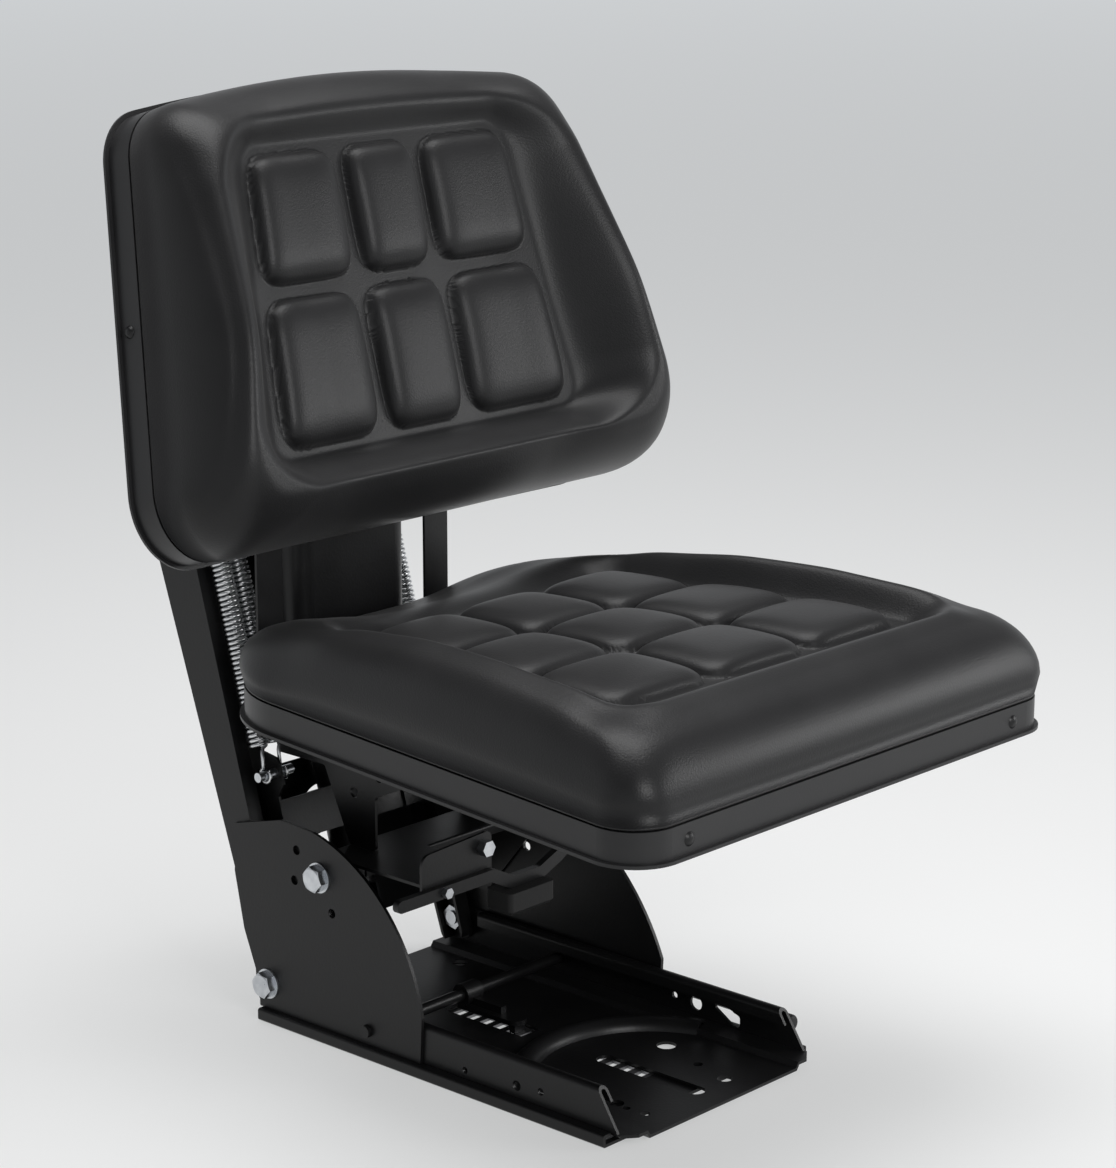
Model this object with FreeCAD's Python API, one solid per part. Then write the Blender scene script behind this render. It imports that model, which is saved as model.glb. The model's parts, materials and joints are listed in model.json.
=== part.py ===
import FreeCAD, Part
import math
import os

# Tractor seat on a leaning suspension tower, in millimetres
# X runs across the seat, Y from front to rear, Z up from the tractor's deck
# Right and left are the sitting driver's, so right is the -X side
# While it is modelled, Y counts from the front corners of the tray

# Driving sizes of the base
sheet = 2.5
gap = 0.3
flange_half_width = 112.0
tray_front = -12.0
tray_length = 404.0
flange_top = 42.0
flange_front_low = -1.0
flange_front_high = 20.0
corner_cut = 13.0
bead_radius = 5.0
curl_rear = 350.0
floor_step_x = flange_half_width - 24.0
floor_lift = 3.0
rail_front = 5.0
rail_length = 380.0
rail_half_width = flange_half_width + 9.0
rail_lip_width = 34.0
runner_thickness = 4.5
runner_inner_x = flange_half_width - 20.0
strap_width = 44.0
mount_spacing_x = 150.0
mount_spacing_y = 300.0
mount_hole_radius = 5.5
rack_width = 30.0
rack_pitch = 15.0
rack_tooth_length = 8.0
rack_hole_count = 19
ring_centre_y = 62.0
ring_radius = 102.0
ring_bead = 9.0
ring_half_angle = 72.0
slot_front = 10.0
slot_rear = 118.0
slot_width = 16.0

# Driving sizes of the side plates and the tower
side_plate_thickness = 3.0
side_plate_rear = 416.0
side_plate_front_right = 201.0
side_plate_front_left = 150.0
pivot_y = 378.0
pivot_z = 32.0
tilt_bolt_y = 315.0
tilt_bolt_z = 138.0
tilt_spare_holes = [(341.0, 155.0), (344.0, 129.0), (301.0, 111.0)]
bolt_radius = 6.0
bolt_clearance = 0.3
hex_across_flats = 19.0
bolt_head_height = 7.5
head_chamfer = 2.0
nut_height = 6.5
washer_radius = 12.5
washer_thickness = 1.6
tower_lean = 16.0
tower_top = 424.0
tower_bottom = -20.0
tower_front = -13.2
tower_depth_low = 26.7
tower_taper = 0.0487
tower_sheet = 2.8
tower_flange = 14.0
tower_corner = 16.0
gusset_thickness = 2.7
tower_outer_x = flange_half_width - gusset_thickness - gap
top_plate_level = 402.0
top_plate_front = -46.0

# Driving sizes of the roller carriage, measured along the tower
roller_radius = 11.0
roller_width = 9.0
roller_play = 0.6
roller_levels = [200.0, 380.0]
axle_radius = 4.0
running_play = 0.08
stroke = 100.0
lip_depth = 4.5
carriage_outer_x = tower_outer_x - 23.0
carriage_inner_x = 50.0
carriage_front = -16.0
carriage_nose = -27.0
carriage_rear = 14.0
carriage_bottom = 105.0
carriage_top = 398.0
lug_front = -36.0
lug_level = 168.0
lug_half_height = 11.0
pin_radius = 4.0
pin_half_length = 10.0

# Driving sizes of the springs, the adjuster and the damper
spring_y = -29.0
spring_xs = [carriage_outer_x - 8.0, carriage_outer_x + 10.0]
spring_radius = 8.5
spring_wire = 1.3
coil_bottom = 190.0
coil_top = 348.0
yoke_level = 366.0
yoke_radius = 5.0
yoke_half_length = tower_outer_x - 2.0
yoke_lift = 24.0
screw_radius = 6.0
knob_radius = 30.0
knob_height = 24.0
damper_y = -1.5
damper_radius = 16.0
damper_wall = 2.5
damper_rod_radius = 5.0
damper_low = 34.0
damper_high = 312.0
damper_tube_top = 180.0
eye_radius = 11.0
damper_pin_radius = 5.0

# Driving sizes of the seat frame
arm_x = 64.0
arm_front = 40.0
arm_flange = 22.0
pan_underside = 278.0
shelf_y = 280.0
shelf_top = 151.0
shelf_depth = 50.0
shelf_half_width = 96.0
stop_bar_y = 203.0
stop_bar_z = 146.0
stop_bar_half_height = 5.0
stop_bar_depth = 6.0
stop_bar_end = 140.0
stop_bar_drop = 11.0
bump_half_width = 26.0
bump_depth = 28.0
bump_corner = 4.0

# Driving sizes of the seat pan and cushion
seat_front = -134.0
seat_rear = 382.0
seat_front_half = 247.0
seat_rear_half = 178.0
seat_front_corner = 34.0
seat_rear_corner = 112.0
seam_level = 303.0
lip_overhang = 3.5
seat_recess_rise = 53.0
wing_rise = 23.0
front_rise = 6.0
rear_rise = 1.0
rear_dip = 18.0
block_rise = 13.0
seat_edge_round = 27.0
block_half = 167.0
block_front = -45.0
block_rear = 237.0
block_gap = 9.0
recess_margin = 3.0
wing_slope = 30.0
soft_gap = 0.5
rim_screw_radius = 4.0

# Driving sizes of the backrest, in its own leaning plane
back_lean = 15.0
back_y = 358.0
back_z = 372.0
back_low = 30.0
back_high = 372.0
back_apex = 396.0
back_low_half = 268.0
back_high_half = 205.0
back_low_corner = 52.0
back_high_corner = 46.0
back_apex_round = 1250.0
back_rim = 26.0
back_low_crest = 119.0
back_high_crest = 96.0
back_edge_round = 28.0
back_recess = 83.0
back_block_crest = 94.0
back_middle_crest = 131.0
back_flat_half = 110.0
back_wrap = 0.139
bracket_half_width = 64.0
bracket_bend = 18.0
bracket_flange = 22.0
bracket_top = 250.0
back_strap_inner = 81.0
back_strap_outer = 108.0
crank_top = 62.0
crank_y = 388.2
crank_z = 402.0
flange_low = 284.0
crank_low = 238.0

# Places that follow from the driving sizes
tray_rear = tray_front + tray_length
rail_rear = rail_front + rail_length
origin_y = rail_front + rail_length / 2

# The fore and aft lock, and holes in the tray
latch_y = 262.0
lever_y = latch_y
lever_z = 22.0
lever_radius = 5.0
lever_arm_x = flange_half_width + 14.0
lever_tip_y = 22.0
lever_bend = 10.0
grip_length = 60.0
floor_holes = [
    (54.0, 94.0, 8.0),
    (41.0, 50.0, 4.0),
    (33.0, 16.0, 6.0),
    (-60.0, 46.0, 6.0),
    (-60.0, 17.0, 4.0),
    (-62.0, 34.0, 3.0),
    (75.0, 345.0, 6.5),
    (-75.0, 345.0, 6.5),
]
flange_holes_right = [(157.0, 17.0, 2.8), (102.0, 20.0, 4.2), (77.0, 22.0, 3.0)]
flange_holes_left = [(133.0, 22.0, 2.8), (110.0, 21.0, 6.0)]

guide_low = 92.0
rim_screw_level = 291.0
rim_screw_places = [(-190.0, seat_front), (190.0, seat_front)]

# Levels that follow from these
runner_bottom = sheet + gap
runner_top = runner_bottom + runner_thickness
rail_lip_bottom = runner_top + gap
rail_top = rail_lip_bottom + sheet
strip_top = runner_top + sheet
floor_top = floor_lift + sheet
seat_recess = seam_level + seat_recess_rise
seat_crest = seat_recess + wing_rise
seat_front_crest = seat_recess + front_rise
seat_rear_crest = seat_recess + rear_rise
seat_rear_dip = seat_recess - rear_dip
block_crest = seat_recess + block_rise
guide_face = tower_front + tower_sheet + 2 * roller_radius + roller_play
roller_y = tower_front + tower_sheet + roller_radius + roller_play / 2
roller_x = tower_outer_x - tower_sheet - 1.2 - roller_width / 2
tilt_sine = math.sin(math.radians(tower_lean))
tilt_cosine = math.cos(math.radians(tower_lean))


def vector(x, y, z):
    return FreeCAD.Vector(x, y, z)


def box(x0, x1, y0, y1, z0, z1):
    return Part.makeBox(x1 - x0, y1 - y0, z1 - z0, vector(x0, y0, z0))


def rod(start, end, radius):
    direction = end.sub(start)
    return Part.makeCylinder(radius, direction.Length, start, direction)


def cross_rod(x0, x1, y, z, radius):
    return rod(vector(x0, y, z), vector(x1, y, z), radius)


def rounded_wire(corners):
    """A closed wire through (point, radius) corners, each rounded by its own arc."""
    count = len(corners)
    edges = []
    starts = []
    ends = []
    middles = []
    for i in range(count):
        point, radius = corners[i]
        before = corners[i - 1][0].sub(point).normalize()
        after = corners[(i + 1) % count][0].sub(point).normalize()
        if radius == 0:
            starts.append(point)
            middles.append(None)
            ends.append(point)
            continue
        half = before.getAngle(after) / 2
        reach = radius / math.tan(half)
        centre_way = before.add(after).normalize()
        centre = point.add(centre_way.multiply(radius / math.sin(half)))
        inward = point.sub(centre).normalize()
        starts.append(point.add(before.multiply(reach)))
        middles.append(centre.add(inward.multiply(radius)))
        ends.append(point.add(after.multiply(reach)))
    for i in range(count):
        if middles[i] is not None:
            edges.append(Part.Arc(starts[i], middles[i], ends[i]).toShape())
        following = starts[(i + 1) % count]
        if ends[i].distanceToPoint(following) > 0.001:
            edges.append(Part.LineSegment(ends[i], following).toShape())
    return Part.Wire(edges)


def slab_yz(points, x0, x1):
    """A flat plate across X, from (y, z, radius) corners."""
    wire = rounded_wire([(vector(x0, y, z), r) for y, z, r in points])
    return Part.Face(wire).extrude(vector(x1 - x0, 0, 0))


def slab_xy(points, z0, z1):
    """A flat plate across Z, from (x, y, radius) corners."""
    wire = rounded_wire([(vector(x, y, z0), r) for x, y, r in points])
    return Part.Face(wire).extrude(vector(0, 0, z1 - z0))


def bar_xz(points, y0, y1):
    """A flat plate across Y, from (x, z, radius) corners."""
    wire = rounded_wire([(vector(x, y0, z), r) for x, z, r in points])
    return Part.Face(wire).extrude(vector(0, y1 - y0, 0))


def mirrored(shape):
    return shape.mirror(vector(0, 0, 0), vector(1, 0, 0))


def hexagon(x0, x1, y, z):
    radius = hex_across_flats / math.sqrt(3)
    corners = []
    for k in range(6):
        turn = math.radians(60 * k + 12)
        corners.append((y + radius * math.cos(turn), z + radius * math.sin(turn), 0))
    return slab_yz(corners, x0, x1)


def on_tower(shape):
    """Leans a shape back with the tower, whose own Z runs up from the pivot bolt."""
    placed = shape.copy()
    placed.rotate(vector(0, 0, 0), vector(1, 0, 0), -tower_lean)
    placed.translate(vector(0, pivot_y, pivot_z))
    return placed


def on_back(shape):
    """Leans a shape back with the backrest, whose own Z runs up its back plane."""
    placed = shape.copy()
    placed.rotate(vector(0, 0, 0), vector(1, 0, 0), -back_lean)
    placed.translate(vector(0, back_y, back_z))
    return placed


def tower_y(z, depth):
    """The seat's Y at height z of a plane that lies at the given depth of the tower."""
    return pivot_y + (z - pivot_z) * tilt_sine / tilt_cosine + depth / tilt_cosine


def tower_rear(level):
    return tower_front + tower_depth_low + tower_taper * level


def both(shape):
    return [mirrored(shape), shape]


def save(name, shapes):
    """Writes one node, with Y counted from the middle of the mounting holes."""
    group = shapes if isinstance(shapes, list) else [shapes]
    shape = group[0] if len(group) == 1 else Part.makeCompound(group)
    shape = shape.copy()
    shape.translate(vector(0, -origin_y, 0))
    shape.exportStep("parts/" + name + ".step")


# The fixed rails


def make_rail():
    inner = rail_half_width - rail_lip_width
    web_inner = rail_half_width - sheet
    lip_inner = flange_half_width + 2 * gap
    section = [
        (inner, 0, 0),
        (rail_half_width, 0, 2.0),
        (rail_half_width, rail_top, 2.0),
        (lip_inner, rail_top, 0),
        (lip_inner, rail_lip_bottom, 0),
        (web_inner, rail_lip_bottom, 0),
        (web_inner, sheet, 0),
        (inner, sheet, 0),
    ]
    return bar_xz(section, rail_front, rail_rear)


def make_strap(y):
    reach = rail_half_width - rail_lip_width
    strap = box(-reach, reach, y - strap_width / 2, y + strap_width / 2, 0, sheet)
    for side in (-1, 1):
        x = side * mount_spacing_x / 2
        hole = rod(vector(x, y, -1), vector(x, y, sheet + 1), mount_hole_radius)
        strap = strap.cut(hole)
    return strap


def make_rack():
    front = origin_y - mount_spacing_y / 2 + strap_width / 2
    rear = origin_y + mount_spacing_y / 2 - strap_width / 2
    rack = box(-rack_width / 2, rack_width / 2, front, rear, 0, sheet)
    first = origin_y - rack_pitch * (rack_hole_count - 1) / 2
    for k in range(rack_hole_count):
        y = first + k * rack_pitch
        if y - rack_tooth_length / 2 < front or y + rack_tooth_length / 2 > rear:
            continue
        reach = rack_width / 2 - 8
        hole = box(-reach, reach, y - rack_tooth_length / 2, y + rack_tooth_length / 2, -1, sheet + 1)
        rack = rack.cut(hole)
    return rack


# The sliding tray


def tray_section():
    """The pressed section: low middle, raised strips, flanges with a curled top edge."""
    inner = flange_half_width - sheet
    points = [
        (-floor_step_x, floor_lift, 0),
        (floor_step_x, floor_lift, 0),
        (floor_step_x + 3, runner_top, 0),
        (flange_half_width, runner_top, 2.5),
        (flange_half_width, flange_top, bead_radius),
        (flange_half_width - 2 * bead_radius, flange_top, bead_radius - 0.2),
        (flange_half_width - 2 * bead_radius, flange_top - 12, 0),
        (flange_half_width - 2 * bead_radius + sheet, flange_top - 12, 0),
        (flange_half_width - 2 * bead_radius + sheet, flange_top - sheet, bead_radius - sheet - 0.2),
        (inner, flange_top - sheet, bead_radius - sheet - 0.2),
        (inner, strip_top, 0),
        (floor_step_x + 2, strip_top, 0),
        (floor_step_x - 1, floor_top, 0),
    ]
    left = [(-x, z, r) for x, z, r in reversed(points[2:])]
    return points + left


def make_ring_bead():
    """A half-round bead pressed up in the floor, round the rear half of a circle."""
    centre = vector(0, ring_centre_y, floor_lift)
    turn = 180 - 2 * (90 - ring_half_angle)
    shapes = []
    for radius in (ring_bead + sheet, ring_bead):
        middle = centre.add(vector(ring_radius, 0, 0))
        circle = Part.makeCircle(radius, middle, vector(0, 1, 0))
        face = Part.Face(Part.Wire([circle]))
        face.rotate(centre, vector(0, 0, 1), 90 - ring_half_angle)
        shapes.append(face.revolve(centre, vector(0, 0, 1), turn))
    return shapes


def make_tray():
    tray = bar_xz(tray_section(), tray_front, tray_rear)
    outer, inner = make_ring_bead()
    between = flange_half_width - sheet
    above = box(-floor_step_x, floor_step_x, tray_front, tray_rear, floor_lift, flange_top)
    above = above.fuse(box(-between, between, tray_front, tray_rear, runner_top, flange_top))
    tray = tray.fuse(outer.common(above)).cut(inner.common(above))
    wide = flange_half_width + 5
    slope = (flange_front_high - flange_front_low) / (flange_top - strip_top)
    for side in (-1, 1):
        nose = slab_yz(
            [
                (tray_front - 1, strip_top, 0),
                (flange_front_low, strip_top, 0),
                (flange_front_high + slope * 5, flange_top + 5, 0),
                (tray_front - 1, flange_top + 5, 0),
            ],
            side * (flange_half_width - 3 * bead_radius),
            side * wide,
        )
        corner = slab_xy(
            [
                (side * (flange_half_width - corner_cut), tray_front - 1, 0),
                (side * wide, tray_front - 1, 0),
                (side * wide, tray_front + corner_cut, 0),
            ],
            -1,
            flange_top + 5,
        )
        tray = tray.cut(nose).cut(corner)
    slot = slab_xy(
        [
            (-slot_width / 2, slot_front, slot_width / 2 - 0.1),
            (slot_width / 2, slot_front, slot_width / 2 - 0.1),
            (slot_width / 2, slot_rear, slot_width / 2 - 0.1),
            (-slot_width / 2, slot_rear, slot_width / 2 - 0.1),
        ],
        -1,
        30,
    )
    tray = tray.cut(slot)
    for side in (-1, 1):
        xs = sorted((side * (flange_half_width - sheet), side * (flange_half_width - 4 * bead_radius)))
        tray = tray.cut(box(xs[0], xs[1], curl_rear, tray_rear + 1, flange_top - 16, flange_top + 5))
    latch_window = box(-11, 11, latch_y - 70, latch_y + 16, -1, 30)
    tray = tray.cut(latch_window)
    for x, y, radius in floor_holes:
        tray = tray.cut(rod(vector(x, y, -1), vector(x, y, 30), radius))
    for y, z, radius in flange_holes_right:
        tray = tray.cut(cross_rod(-wide, -flange_half_width + 20, y, z, radius))
    for y, z, radius in flange_holes_left:
        tray = tray.cut(cross_rod(flange_half_width - 20, wide, y, z, radius))
    keyhole = slab_yz(
        [(90, 31, 3), (64, 21, 3), (64, 12, 3), (72, 12, 3), (90, 23, 3)],
        flange_half_width - 20,
        wide,
    )
    tray = tray.cut(keyhole)
    tray = tray.cut(cross_rod(-wide, wide, lever_y, lever_z, lever_radius + gap))
    tray = tray.cut(cross_rod(-wide, wide, pivot_y, pivot_z, bolt_radius + bolt_clearance))
    return tray


def make_runner():
    outer = rail_half_width - sheet - gap
    return box(runner_inner_x, outer, tray_front + 22, tray_rear - 4, runner_bottom, runner_top)


# The side plates and the tower


def make_side_plate(front):
    """The quarter-round plate outside the flange, on the +X side."""
    low = rail_top + gap
    x0 = flange_half_width
    reach = front - side_plate_front_right
    first = vector(x0, front, 48)
    bulge = vector(x0, 236 + 0.65 * reach, 123)
    last = vector(x0, 322, 174)
    top_arc = Part.Arc(first, bulge, last).toShape()
    corners = [last, vector(x0, 360, 176), vector(x0, 412, 162), vector(x0, side_plate_rear, 121)]
    corners += [vector(x0, 406, 73), vector(x0, 393, 41), vector(x0, 392, 20), vector(x0, 384, low)]
    corners += [vector(x0, front + 2, low), first]
    edges = [top_arc]
    for start, end in zip(corners, corners[1:]):
        edges.append(Part.LineSegment(start, end).toShape())
    plate = Part.Face(Part.Wire(edges)).extrude(vector(side_plate_thickness, 0, 0))
    holes = [(pivot_y, pivot_z, bolt_radius + bolt_clearance)]
    holes.append((tilt_bolt_y, tilt_bolt_z, bolt_radius + bolt_clearance))
    for y, z in tilt_spare_holes:
        holes.append((y, z, 4.0))
    holes.append((lever_y, lever_z, lever_radius + gap))
    for y, z, radius in holes:
        plate = plate.cut(cross_rod(x0 - 5, x0 + 10, y, z, radius))
    return plate


def make_upright():
    """One tapered channel of the tower, open towards the middle, on the +X side."""
    low_rear = tower_rear(tower_bottom)
    high_rear = tower_rear(tower_top)
    outline = [
        (tower_front, tower_bottom, 9),
        (low_rear, tower_bottom, 9),
        (high_rear, tower_top, tower_corner),
        (tower_front, tower_top, 6),
    ]
    inside = [
        (tower_front + tower_sheet, tower_bottom - 5, 0),
        (low_rear - tower_sheet - tower_taper * 5, tower_bottom - 5, 0),
        (high_rear - tower_sheet + tower_taper * 5, tower_top + 5, 0),
        (tower_front + tower_sheet, tower_top + 5, 0),
    ]
    body = slab_yz(outline, tower_outer_x - tower_flange, tower_outer_x)
    hollow = slab_yz(inside, 0, tower_outer_x - tower_sheet)
    channel = body.cut(hollow)
    channel = channel.cut(cross_rod(tower_outer_x - 29, tower_outer_x + 11, 0, 0, bolt_radius + bolt_clearance))
    return on_tower(channel)


def make_guide_strip():
    """The inner strip that the rollers run on, parallel to the front flange."""
    x0 = tower_outer_x - tower_flange
    x1 = tower_outer_x - tower_sheet
    face = box(x0, x1, guide_face, guide_face + sheet, guide_low, top_plate_level - 12)
    foot = box(x1 - sheet, x1, guide_face + sheet, tower_rear(guide_low) - tower_sheet, guide_low, top_plate_level - 12)
    return on_tower(face.fuse(foot))




def make_gusset():
    """The ear inside the side plate that carries the tilt bolt."""
    points = [
        (tower_y(60, tower_front + 20), 60, 4),
        (tower_y(160, tower_front + 20), 160, 4),
        (345, 168, 6),
        (298, 150, 8),
        (296, 122, 8),
        (345, 62, 6),
    ]
    ear = slab_yz(points, tower_outer_x, tower_outer_x + gusset_thickness)
    return ear.cut(cross_rod(tower_outer_x - 9, tower_outer_x + 11, tilt_bolt_y, tilt_bolt_z, bolt_radius + bolt_clearance))


def make_back_plate():
    """The plate that ties the uprights' rear flanges, with two ears for the damper."""
    low, high = 24.0, 168.0
    points = [
        (tower_rear(low), low, 0),
        (tower_rear(high), high, 0),
        (tower_rear(high) + sheet, high, 0),
        (tower_rear(low) + sheet, low, 0),
    ]
    plate = slab_yz(points, -tower_outer_x + 3, tower_outer_x - 3)
    plate = plate.cut(rod(vector(0, 0, 117), vector(0, 60, 117), 26))
    for side in (-1, 1):
        x0 = side * 14 - sheet / 2
        foot = tower_rear(low)
        ear = box(x0, x0 + sheet, damper_y - 9, foot + 1, low, damper_low + 18)
        plate = plate.fuse(ear)
    plate = plate.cut(cross_rod(-30, 30, damper_y, damper_low, damper_pin_radius))
    return on_tower(plate.removeSplitter())


def make_top_plate():
    """The channel across the top of the tower that hangs the adjusting screw."""
    reach = tower_outer_x - tower_sheet
    rear = tower_rear(top_plate_level) - tower_sheet - 1
    plate = box(-reach, reach, tower_front + tower_sheet, rear, top_plate_level, top_plate_level + sheet)
    inner = tower_outer_x - tower_flange
    nose = box(-inner, inner, top_plate_front, tower_front + tower_sheet, top_plate_level, top_plate_level + sheet)
    lip = box(-inner, inner, top_plate_front, top_plate_front + sheet, top_plate_level - 12, top_plate_level + sheet)
    rear_lip = box(-inner, inner, rear - sheet, rear, top_plate_level, top_plate_level + 16)
    top = plate.fuse(nose).fuse(lip).fuse(rear_lip)
    hole = rod(vector(0, spring_y, 380), vector(0, spring_y, 420), screw_radius + running_play)
    return on_tower(top.cut(hole).removeSplitter())


def make_rebound_stop():
    x1 = tower_outer_x - tower_sheet
    low = roller_levels[1] + roller_radius + gap
    return on_tower(box(x1 - 10, x1, roller_y - 6, roller_y + 6, low, top_plate_level))


def make_tower_bolt(y, z, inner):
    """A hex bolt from outside the side plate, with its plain shank, on the +X side."""
    outer = flange_half_width + side_plate_thickness + washer_thickness
    head = hexagon(outer, outer + bolt_head_height, y, z)
    shoulder = outer + bolt_head_height - head_chamfer
    crown = Part.makeCone(hex_across_flats * 0.66, hex_across_flats * 0.47, head_chamfer, vector(shoulder, y, z), vector(1, 0, 0))
    head = head.common(cross_rod(outer - 1, shoulder, y, z, hex_across_flats * 0.66).fuse(crown))
    shank = cross_rod(inner, outer, y, z, bolt_radius)
    return head.fuse(shank)


def make_tower_nut(y, z, inner):
    nut = hexagon(inner, inner + nut_height, y, z)
    return nut.cut(cross_rod(inner - 5, inner + 20, y, z, bolt_radius))


def make_tower_washer(y, z):
    x0 = flange_half_width + side_plate_thickness
    ring = cross_rod(x0, x0 + washer_thickness, y, z, washer_radius)
    return ring.cut(cross_rod(x0 - 1, x0 + 10, y, z, bolt_radius + bolt_clearance))


# The roller carriage


def make_roller(level):
    """One roller with a shallow crown and its bore, on the +X side."""
    x0 = roller_x - roller_width / 2
    x1 = roller_x + roller_width / 2
    chamfer = 1.0
    wheel = cross_rod(x0, x1, roller_y, level, roller_radius)
    rims = [edge for edge in wheel.Edges if abs(edge.Length - 2 * math.pi * roller_radius) < 0.1]
    wheel = wheel.makeChamfer(chamfer, rims)
    wheel = wheel.cut(cross_rod(x0 - 1, x1 + 1, roller_y, level, axle_radius + running_play))
    return on_tower(wheel)


def make_axle(level):
    outer = roller_x + roller_width / 2 + 0.8
    inner = carriage_outer_x - sheet - 6
    pin = cross_rod(inner, outer, roller_y, level, axle_radius)
    collar = cross_rod(carriage_outer_x, roller_x - roller_width / 2 - gap, roller_y, level, axle_radius + 3)
    head = cross_rod(inner - 2, carriage_outer_x - sheet, roller_y, level, axle_radius + 3)
    return on_tower(pin.fuse(collar).fuse(head))


def make_carriage_side():
    """The pressed member with its joggled front flange and the spring lug, +X side."""
    web = slab_yz(
        [
            (carriage_nose, carriage_bottom, 4),
            (carriage_nose, lug_level - 20, 3),
            (lug_front, lug_level - lug_half_height, 5),
            (lug_front, lug_level + lug_half_height, 6),
            (carriage_front, lug_level + 20, 4),
            (carriage_front, carriage_top, 6),
            (carriage_rear, carriage_top, 8),
            (carriage_rear, carriage_bottom, 8),
        ],
        carriage_outer_x - sheet,
        carriage_outer_x,
    )
    low = box(carriage_inner_x, carriage_outer_x - sheet, carriage_nose, carriage_nose + sheet, carriage_bottom + 4, lug_level - 24)
    high = box(carriage_inner_x, carriage_outer_x - sheet, carriage_front, carriage_front + sheet, lug_level + 24, carriage_top - 6)
    side = web.fuse(low).fuse(high)
    for level in roller_levels:
        side = side.cut(cross_rod(carriage_outer_x - 16, carriage_outer_x + 14, roller_y, level, axle_radius))
    side = side.cut(cross_rod(carriage_outer_x - 16, carriage_outer_x + 14, spring_y, lug_level, pin_radius))
    return on_tower(side.removeSplitter())


def make_cross_plate(front, low, high):
    reach = carriage_outer_x - sheet
    plate = box(-reach, reach, front, front + sheet, low, high)
    lip = box(-carriage_inner_x + 2, carriage_inner_x - 2, front, front + lip_depth, high - sheet, high)
    return plate.fuse(lip).removeSplitter()


def make_lower_cross():
    plate = make_cross_plate(carriage_nose + sheet, carriage_bottom + 4, lug_level - 24)
    return on_tower(plate)


def make_upper_cross():
    plate = make_cross_plate(carriage_front + sheet, damper_high + 16, carriage_top - 10)
    ears = []
    for side in (-1, 1):
        x0 = side * 14 - sheet / 2
        ear = box(x0, x0 + sheet, carriage_front + sheet, damper_y + 9, damper_high - 10, damper_high + 38)
        ears.append(ear)
    cross = plate.fuse(ears[0]).fuse(ears[1])
    cross = cross.cut(cross_rod(-30, 30, damper_y, damper_high, damper_pin_radius))
    return on_tower(cross.removeSplitter())


def make_spring_pin():
    inner = spring_xs[0] - pin_half_length
    outer = spring_xs[1] + pin_half_length - 1
    return on_tower(cross_rod(inner, outer, spring_y, lug_level, pin_radius))


# The springs and their adjuster


def hook_ring(x, level, inner_radius):
    outer = cross_rod(x - spring_wire, x + spring_wire, spring_y, level, inner_radius + 2 * spring_wire)
    return outer.cut(cross_rod(x - 5, x + 5, spring_y, level, inner_radius))


def make_spring(x):
    """The closed coil's outer shape with its two looped ends."""
    spring = Part.makeCylinder(spring_radius, coil_top - coil_bottom, vector(x, spring_y, coil_bottom))
    low_stem = lug_level + pin_radius + gap + spring_wire
    high_stem = yoke_level - yoke_radius - gap - spring_wire
    stem = rod(vector(x, spring_y, low_stem), vector(x, spring_y, high_stem), spring_wire)
    spring = spring.fuse(stem)
    spring = spring.fuse(hook_ring(x, lug_level, pin_radius + gap))
    spring = spring.fuse(hook_ring(x, yoke_level, yoke_radius + gap))
    return on_tower(spring)


def make_yoke():
    """The bar that the top hooks hang on, with its nut boss and guide ears."""
    bar = cross_rod(-yoke_half_length, yoke_half_length, spring_y, yoke_level, yoke_radius)
    boss = Part.makeCylinder(12, 22, vector(0, spring_y, yoke_level - 11))
    yoke = bar.fuse(boss)
    for side in (-1, 1):
        ends = sorted((side * (yoke_half_length - 7), side * yoke_half_length))
        yoke = yoke.fuse(box(ends[0], ends[1], spring_y, tower_front - gap, yoke_level - 5, yoke_level + 5))
    thread = Part.makeCylinder(screw_radius + running_play, 60, vector(0, spring_y, yoke_level - 30))
    return on_tower(yoke.cut(thread))


def make_screw():
    low = yoke_level - 26
    shank = Part.makeCylinder(screw_radius, top_plate_level + sheet + 8 - low, vector(0, spring_y, low))
    collar = Part.makeCylinder(screw_radius + 4, 4, vector(0, spring_y, top_plate_level + sheet + gap))
    return on_tower(shank.fuse(collar))


def make_knob():
    """A five-lobed hand knob on the screw's collar."""
    low = top_plate_level + sheet + gap + 4
    centre = vector(0, spring_y, low)
    knob = Part.makeCylinder(knob_radius - 8, knob_height, centre)
    for k in range(5):
        turn = math.radians(72 * k + 18)
        place = vector((knob_radius - 9) * math.cos(turn), spring_y + (knob_radius - 9) * math.sin(turn), low)
        knob = knob.fuse(Part.makeCylinder(9, knob_height, place))
    knob = knob.removeSplitter()
    crown = Part.makeCone(knob_radius + 1, knob_radius - 7, 6, vector(0, spring_y, low + knob_height - 6))
    belt = Part.makeCylinder(knob_radius + 1, knob_height - 6, centre)
    knob = knob.common(belt.fuse(crown))
    knob = knob.cut(Part.makeCylinder(screw_radius, 8, vector(0, spring_y, low - 4)))
    return on_tower(knob)


# The damper between the tower and the carriage


def make_damper_tube():
    floor = damper_low + 22
    outer = Part.makeCylinder(damper_radius, damper_tube_top - floor, vector(0, damper_y, floor))
    bore = Part.makeCylinder(damper_radius - damper_wall, damper_tube_top - floor, vector(0, damper_y, floor + 4))
    tube = outer.cut(bore)
    neck = box(-7, 7, damper_y - 7, damper_y + 7, damper_low, floor)
    eye = cross_rod(-11, 11, damper_y, damper_low, eye_radius)
    tube = tube.fuse(neck).fuse(eye)
    tube = tube.cut(cross_rod(-20, 20, damper_y, damper_low, damper_pin_radius))
    return on_tower(tube)


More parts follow.
